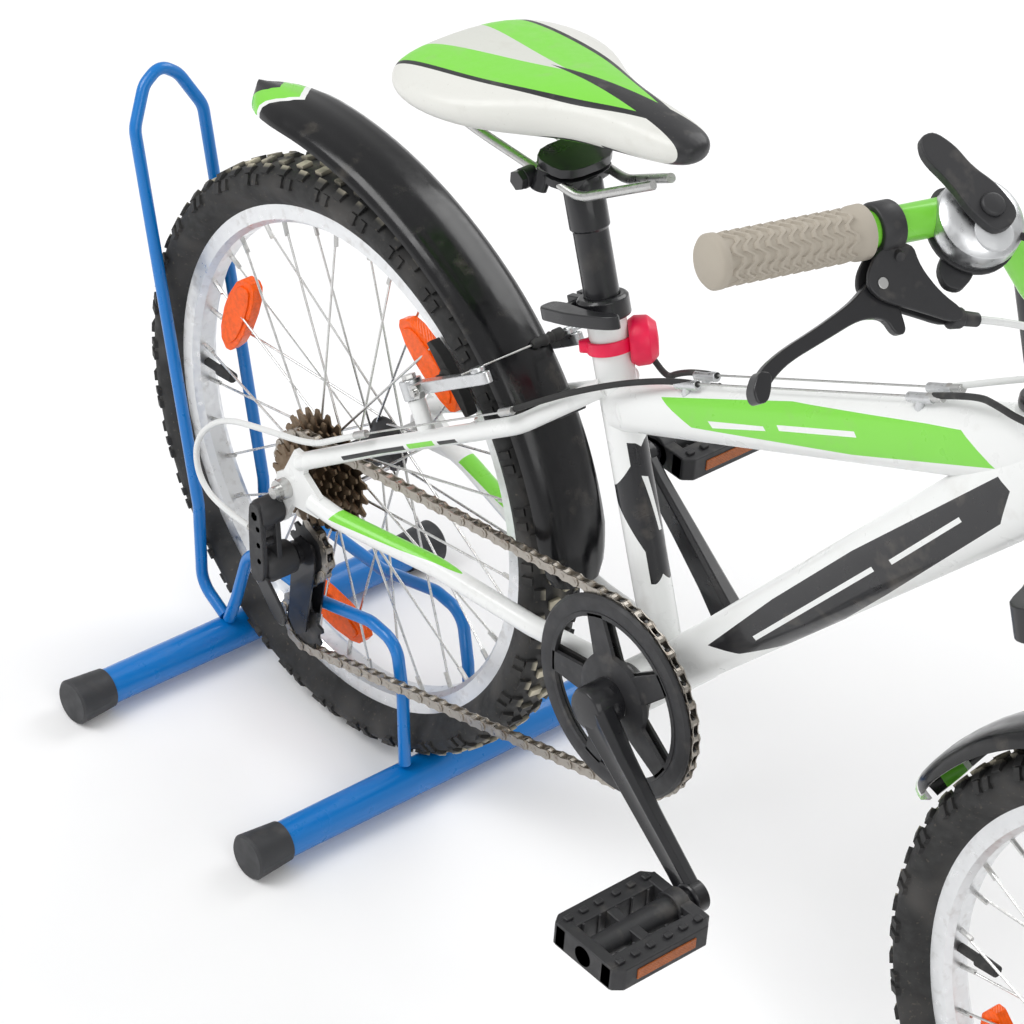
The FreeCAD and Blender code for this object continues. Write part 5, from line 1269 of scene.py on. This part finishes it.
def make_mudguards():
    path = guard_path(REAR, 256, 350, 60, 9, 104)
    make_guard("rear_mudguard_shell", path, "frame", "guard_rear", "rear_mudguard", 4, 5)
    path = guard_path(FRONT, 251, 251, 200, 58, 160, 40)
    make_guard("front_mudguard_shell", path, "fork_lowers", "guard_front", "front_mudguard", 5, 5)
    bm = bmesh.new()
    middle = Vector((236, 0, 186))
    out = middle.normalized()
    block(bm, axes(middle - out * 14, Y, out), 24, 16, 22)
    rod(bm, middle - out * 8 - Y * 14, middle - out * 8 + Y * 14, 5)
    finish("mudguard_bracket", bm, "frame", "plastic", bevel=0.8)


# ---------------------------------------------------------------- brakes

def make_brake_arm(end, side, centre, along, normal):
    """Linear-pull arm with its bush, shoe and pad."""
    sign = -1 if side == "right" else 1
    post = local(f"{end}_brake_{side}")
    start = post + normal * 31
    bm = bmesh.new()
    lathe(bm, [(4.3, 0), (8.6, 0), (8.6, 15), (4.3, 15)], start, normal, 28, closed=True)
    outline = softened([(-8, -5), (2, -7.5), (30, -6), (60, -4.5), (92, -4.5), (99, -2), (99, 3),
                        (92, 5), (60, 4.5), (28, 7), (2, 7.5), (-8, 5)], 2)
    prism(bm, outline, 9, axes(start + normal * 3, along, normal))
    rod(bm, start + along * 88 + normal * 12, start + along * 88 + normal * 16, 5.5)
    finish(f"{end}_brake_{side}_arm", bm, f"{end}_brake_arm_{side}", "alloy",
           replaces=f"{end}_brake_arm_{side}", bevel=0.9)
    bm = bmesh.new()
    middle = start + normal * 7
    radial = middle + along * 20 - centre
    radial.y = 0
    radial.normalize()
    pad = centre + radial * 201
    pad.y = sign * 18.5
    tangent = radial.cross(Y)
    shoe = softened([(-31, -4.5), (31, -4.5), (31, 4.5), (-31, 4.5)], 1)
    bent = [(x, y + 0.0024 * x * x) for x, y in shoe]
    prism(bm, bent, 9.5, axes(pad - Y * sign * 4.75, tangent, Y * sign))
    lathe(bm, [(0, 0), (8, 0), (8, 3), (5.5, 4), (5.5, 9), (0, 9)],
          Vector((pad.x, sign * 23, pad.z)), Y * sign, 24)
    finish(f"{end}_brake_{side}_pad", bm, f"{end}_brake_arm_{side}", "rubber",
           bevel=0.6)
    bm = bmesh.new()
    hexagon(bm, start + normal * 15, start + normal * 18.5, 5.5)
    rod(bm, Vector((pad.x, sign * 32, pad.z)), Vector((pad.x, sign * 58, pad.z)), 3)
    hexagon(bm, Vector((pad.x, sign * 49, pad.z)), Vector((pad.x, sign * 55, pad.z)), 6)
    finish(f"{end}_brake_{side}_bolts", bm, f"{end}_brake_arm_{side}", "steel",
           bevel=0.4)


def make_brakes():
    stay = (Vector((225, 0, 176)) - Vector((90, 0, 83.5))).normalized()
    out = Vector((-stay.z, 0, stay.x))
    for side in ("right", "left"):
        make_brake_arm("rear", side, REAR, stay, out)
        make_brake_arm("front", side, FRONT, HEAD_UP, HEAD_FORE)
    for end, along, normal, body, lead in (
            ("rear", stay, out, "frame", ((-4, 0), (10, 0), (22, 10), (18, 32), (6, 44))),
            ("front", HEAD_UP, HEAD_FORE, "fork_lowers", ((6, 0), (-10, 0), (4, 26), (22, 34)))):
        left = local(f"{end}_brake_left") + normal * 46 + along * 88
        right = local(f"{end}_brake_right") + normal * 46 + along * 88
        # lead pipe on the left arm, boot and bare wire across to the right arm
        wire(f"{end}_brake_lead", [left + Y * across + along * rise for across, rise in lead],
             LEAD_RADIUS, body, "alloy")
        wire(f"{end}_brake_wire", [left, right - Y * 14], WIRE_RADIUS, body,
             "steel", straight=True)
        bm = bmesh.new()
        start = left - Y * 8
        lathe(bm, [(0, 0), (4.6, 0), (4.6, 6), (3.4, 8), (4.6, 10), (3.4, 13), (4.6, 16),
                   (3.2, 20), (4.2, 23), (2.4, 28), (0, 28)], start, -Y, 20)
        finish(f"{end}_brake_boot", bm, body, "rubber")


# ---------------------------------------------------------------- cables

def lever_exit(side):
    """First two points of a brake casing, at its lever and just beyond."""
    origin, out, drop, _ = lever_axes(side)
    end = origin - out * 50 + drop * 62
    return [end, end - out * 28 + drop * 6]


def make_cables():
    pod = local("shift_thumb") - way("shift_thumb") * POD_DROP
    start = [pod + Vector((20, 13, -3)), pod + Vector((34, 22, -4)), pod + Vector((58, 38, -10))]
    fore = [Vector(point) for point in ((744, -50, 560), (740, -44, 500), (708, -37, 440),
                                        (664, -36, 430), (640, -29, 424), (612, -16, 411),
                                        (572, -9, 385))]
    wire("shift_casing_front", start + fore, CASING_RADIUS, "frame", "rubber",
         replaces="frame_cables")
    wire("shift_wire_top", [(572, -9, 384), (346, -9, 268)], WIRE_RADIUS, "frame",
         "steel", straight=True)
    wire("shift_casing_middle", [(366, -9, 278), (346, -9, 270), (306, -20, 250),
                                 (268, -30, 225), (240, -40, 204), (222, -50, 190)],
         CASING_RADIUS, "frame", "rubber")
    wire("shift_wire_stay", [(222, -50, 190), (78, -62, 92)], WIRE_RADIUS, "frame",
         "steel", straight=True)
    wire("shift_casing_loop", [(78, -62, 92), (54, -66, 75), (30, -70, 58), (-20, -76, 46),
                               (-70, -79, 30), (-98, -82, -4), (-92, -84, -36), (-62, -84, -50),
                               (-17, -84, -44)], 2.5, "frame", "white_casing")
    brake = lever_exit("right")
    brake += [Vector(point) for point in ((762, -50, 532), (764, -4, 490), (738, 30, 442),
                                          (690, 39, 428), (648, 36, 424), (618, 20, 413),
                                          (572, 9, 385))]
    wire("brake_casing_front", brake, CASING_RADIUS, "frame", "white_casing")
    wire("brake_wire_top", [(572, 9, 384), (346, 9, 268)], WIRE_RADIUS, "frame",
         "steel", straight=True)
    wire("brake_casing_rear", [(366, 9, 278), (346, 9, 270), (322, 15, 253), (300, 28, 232),
                               (270, 42, 226), (238, 50, 230), (206, 47, 224)],
         CASING_RADIUS, "frame", "rubber")
    bm = bmesh.new()
    for centre, direction in (((222, -50, 190), (-0.82, -0.07, -0.56)),
                              ((78, -62, 92), (-0.82, -0.07, -0.56)),
                              ((574, -9, 385), (0.9, 0, 0.45)), ((574, 9, 385), (0.9, 0, 0.45))):
        middle, run = Vector(centre), Vector(direction).normalized()
        rod(bm, middle - run * 7, middle + run * 7, 3.1)
    rod(bm, Vector((-24, -84, -45)), Vector((-12, -84, -43)), 3.4)
    finish("cable_ferrules", bm, "frame", "steel", bevel=0.4)
    front = lever_exit("left")
    front += [Vector(point) for point in ((770, 66, 520), (790, 40, 450), (796, 8, 380),
                                          (790, -22, 326), (779, -40, 294))]
    front.append(head_point(282) + HEAD_FORE * 62 - Y * 44)
    wire("front_brake_casing", front, CASING_RADIUS, "steering", "rubber",
         replaces="front_brake_cable")


# ---------------------------------------------------------------- the add-on

class BikeSizes(bpy.types.PropertyGroup):
    """Sizes that a user would change."""

    knobs: bpy.props.IntProperty(
        name="Tread knobs", description="Knobs round each row of the tyres' tread",
        default=66, min=20, max=120)
    knob_height: bpy.props.FloatProperty(
        name="Knob height", description="How far the knobs stand out, in millimetres",
        default=2.7, min=0.5, max=3.0)


def colour_property(name, description, default):
    return bpy.props.FloatVectorProperty(name=name, description=description, subtype="COLOR",
                                         size=3, min=0, max=1, default=default)


class BikeColours(bpy.types.PropertyGroup):
    """Colours that a user would change."""

    frame: colour_property("Frame", "Enamel of the frame", WHITE)
    green: colour_property("Green", "Handlebar, panels and saddle top", GREEN)
    stand: colour_property("Stand", "Enamel of the stand", (0.0, 0.165, 0.52))
    grip: colour_property("Grips", "Rubber of the grips", (0.40, 0.36, 0.30))
    reflector: colour_property("Reflectors", "Spoke reflectors", (1.0, 0.12, 0.0))
    light: colour_property("Light", "Silicone of the seat tube light", (0.85, 0.005, 0.07))


class BIKE_OT_finishes(bpy.types.Operator):
    """Make the paints, metals, plastics and rubbers."""
    bl_idname = "bike.finishes"
    bl_label = "Finishes"
    bl_options = {"REGISTER", "UNDO"}

    def execute(self, context):
        make_finishes(context.scene.bike_colours)
        return {"FINISHED"}


class BIKE_OT_stage(bpy.types.Operator):
    """Set up the floor, the studio light and the camera."""
    bl_idname = "bike.stage"
    bl_label = "Stage"
    bl_options = {"REGISTER", "UNDO"}

    def execute(self, context):
        make_stage()
        return {"FINISHED"}


class BIKE_OT_stand(bpy.types.Operator):
    """Finish the stand."""
    bl_idname = "bike.stand"
    bl_label = "Stand"
    bl_options = {"REGISTER", "UNDO"}

    def execute(self, context):
        make_stand()
        return {"FINISHED"}


class BIKE_OT_frame(bpy.types.Operator):
    """Build the frame's tubes and their panels."""
    bl_idname = "bike.frame"
    bl_label = "Frame"
    bl_options = {"REGISTER", "UNDO"}

    def execute(self, context):
        make_frame()
        make_fork()
        return {"FINISHED"}


class BIKE_OT_wheels(bpy.types.Operator):
    """Build the tyres, valves, nipples and spoke reflectors."""
    bl_idname = "bike.wheels"
    bl_label = "Wheels"
    bl_options = {"REGISTER", "UNDO"}

    def execute(self, context):
        sizes = context.scene.bike_sizes
        make_wheels(sizes.knobs, sizes.knob_height)
        return {"FINISHED"}


class BIKE_OT_drive(bpy.types.Operator):
    """Build the chain, sprockets, cranks, pedals and derailleur."""
    bl_idname = "bike.drive"
    bl_label = "Drive"
    bl_options = {"REGISTER", "UNDO"}

    def execute(self, context):
        make_chain()
        make_freewheel()
        make_crankset()
        make_pedal("right", RIGHT_PEDAL)
        make_pedal("left", LEFT_PEDAL)
        make_derailleur()
        return {"FINISHED"}


class BIKE_OT_cockpit(bpy.types.Operator):
    """Build the grips, brake levers and shifter."""
    bl_idname = "bike.cockpit"
    bl_label = "Cockpit"
    bl_options = {"REGISTER", "UNDO"}

    def execute(self, context):
        make_levers()
        make_grips()
        make_shifter()
        return {"FINISHED"}


class BIKE_OT_saddle(bpy.types.Operator):
    """Build the saddle, its post, the collar and the light."""
    bl_idname = "bike.saddle"
    bl_label = "Saddle"
    bl_options = {"REGISTER", "UNDO"}

    def execute(self, context):
        make_saddle()
        return {"FINISHED"}


class BIKE_OT_mudguards(bpy.types.Operator):
    """Build both mudguards."""
    bl_idname = "bike.mudguards"
    bl_label = "Mudguards"
    bl_options = {"REGISTER", "UNDO"}

    def execute(self, context):
        make_mudguards()
        return {"FINISHED"}


class BIKE_OT_brakes(bpy.types.Operator):
    """Build the brake arms and their pads."""
    bl_idname = "bike.brakes"
    bl_label = "Brakes"
    bl_options = {"REGISTER", "UNDO"}

    def execute(self, context):
        make_brakes()
        return {"FINISHED"}


class BIKE_OT_cables(bpy.types.Operator):
    """Run the gear and brake cables."""
    bl_idname = "bike.cables"
    bl_label = "Cables"
    bl_options = {"REGISTER", "UNDO"}

    def execute(self, context):
        make_cables()
        return {"FINISHED"}


STEPS = (BIKE_OT_finishes, BIKE_OT_stage, BIKE_OT_stand, BIKE_OT_frame, BIKE_OT_wheels,
         BIKE_OT_drive, BIKE_OT_cockpit, BIKE_OT_saddle, BIKE_OT_mudguards, BIKE_OT_brakes,
         BIKE_OT_cables)


class BIKE_PT_panel(bpy.types.Panel):
    """Lists the building steps."""
    bl_label = "Bicycle on stand"
    bl_idname = "BIKE_PT_panel"
    bl_space_type = "VIEW_3D"
    bl_region_type = "UI"
    bl_category = "Bicycle"

    def draw(self, context):
        for group in (context.scene.bike_sizes, context.scene.bike_colours):
            for prop in group.bl_rna.properties:
                if prop.identifier not in {"rna_type", "name"}:
                    self.layout.prop(group, prop.identifier)
        for step in STEPS:
            self.layout.operator(step.bl_idname)


CLASSES = (BikeSizes, BikeColours, *STEPS, BIKE_PT_panel)


def register():
    for item in CLASSES:
        bpy.utils.register_class(item)
    bpy.types.Scene.bike_sizes = bpy.props.PointerProperty(type=BikeSizes)
    bpy.types.Scene.bike_colours = bpy.props.PointerProperty(type=BikeColours)


def unregister():
    del bpy.types.Scene.bike_sizes
    del bpy.types.Scene.bike_colours
    for item in reversed(CLASSES):
        bpy.utils.unregister_class(item)


def main():
    register()
    for step in STEPS:
        getattr(bpy.ops.bike, step.bl_idname.split(".")[1])()


if __name__ == "__main__":
    main()
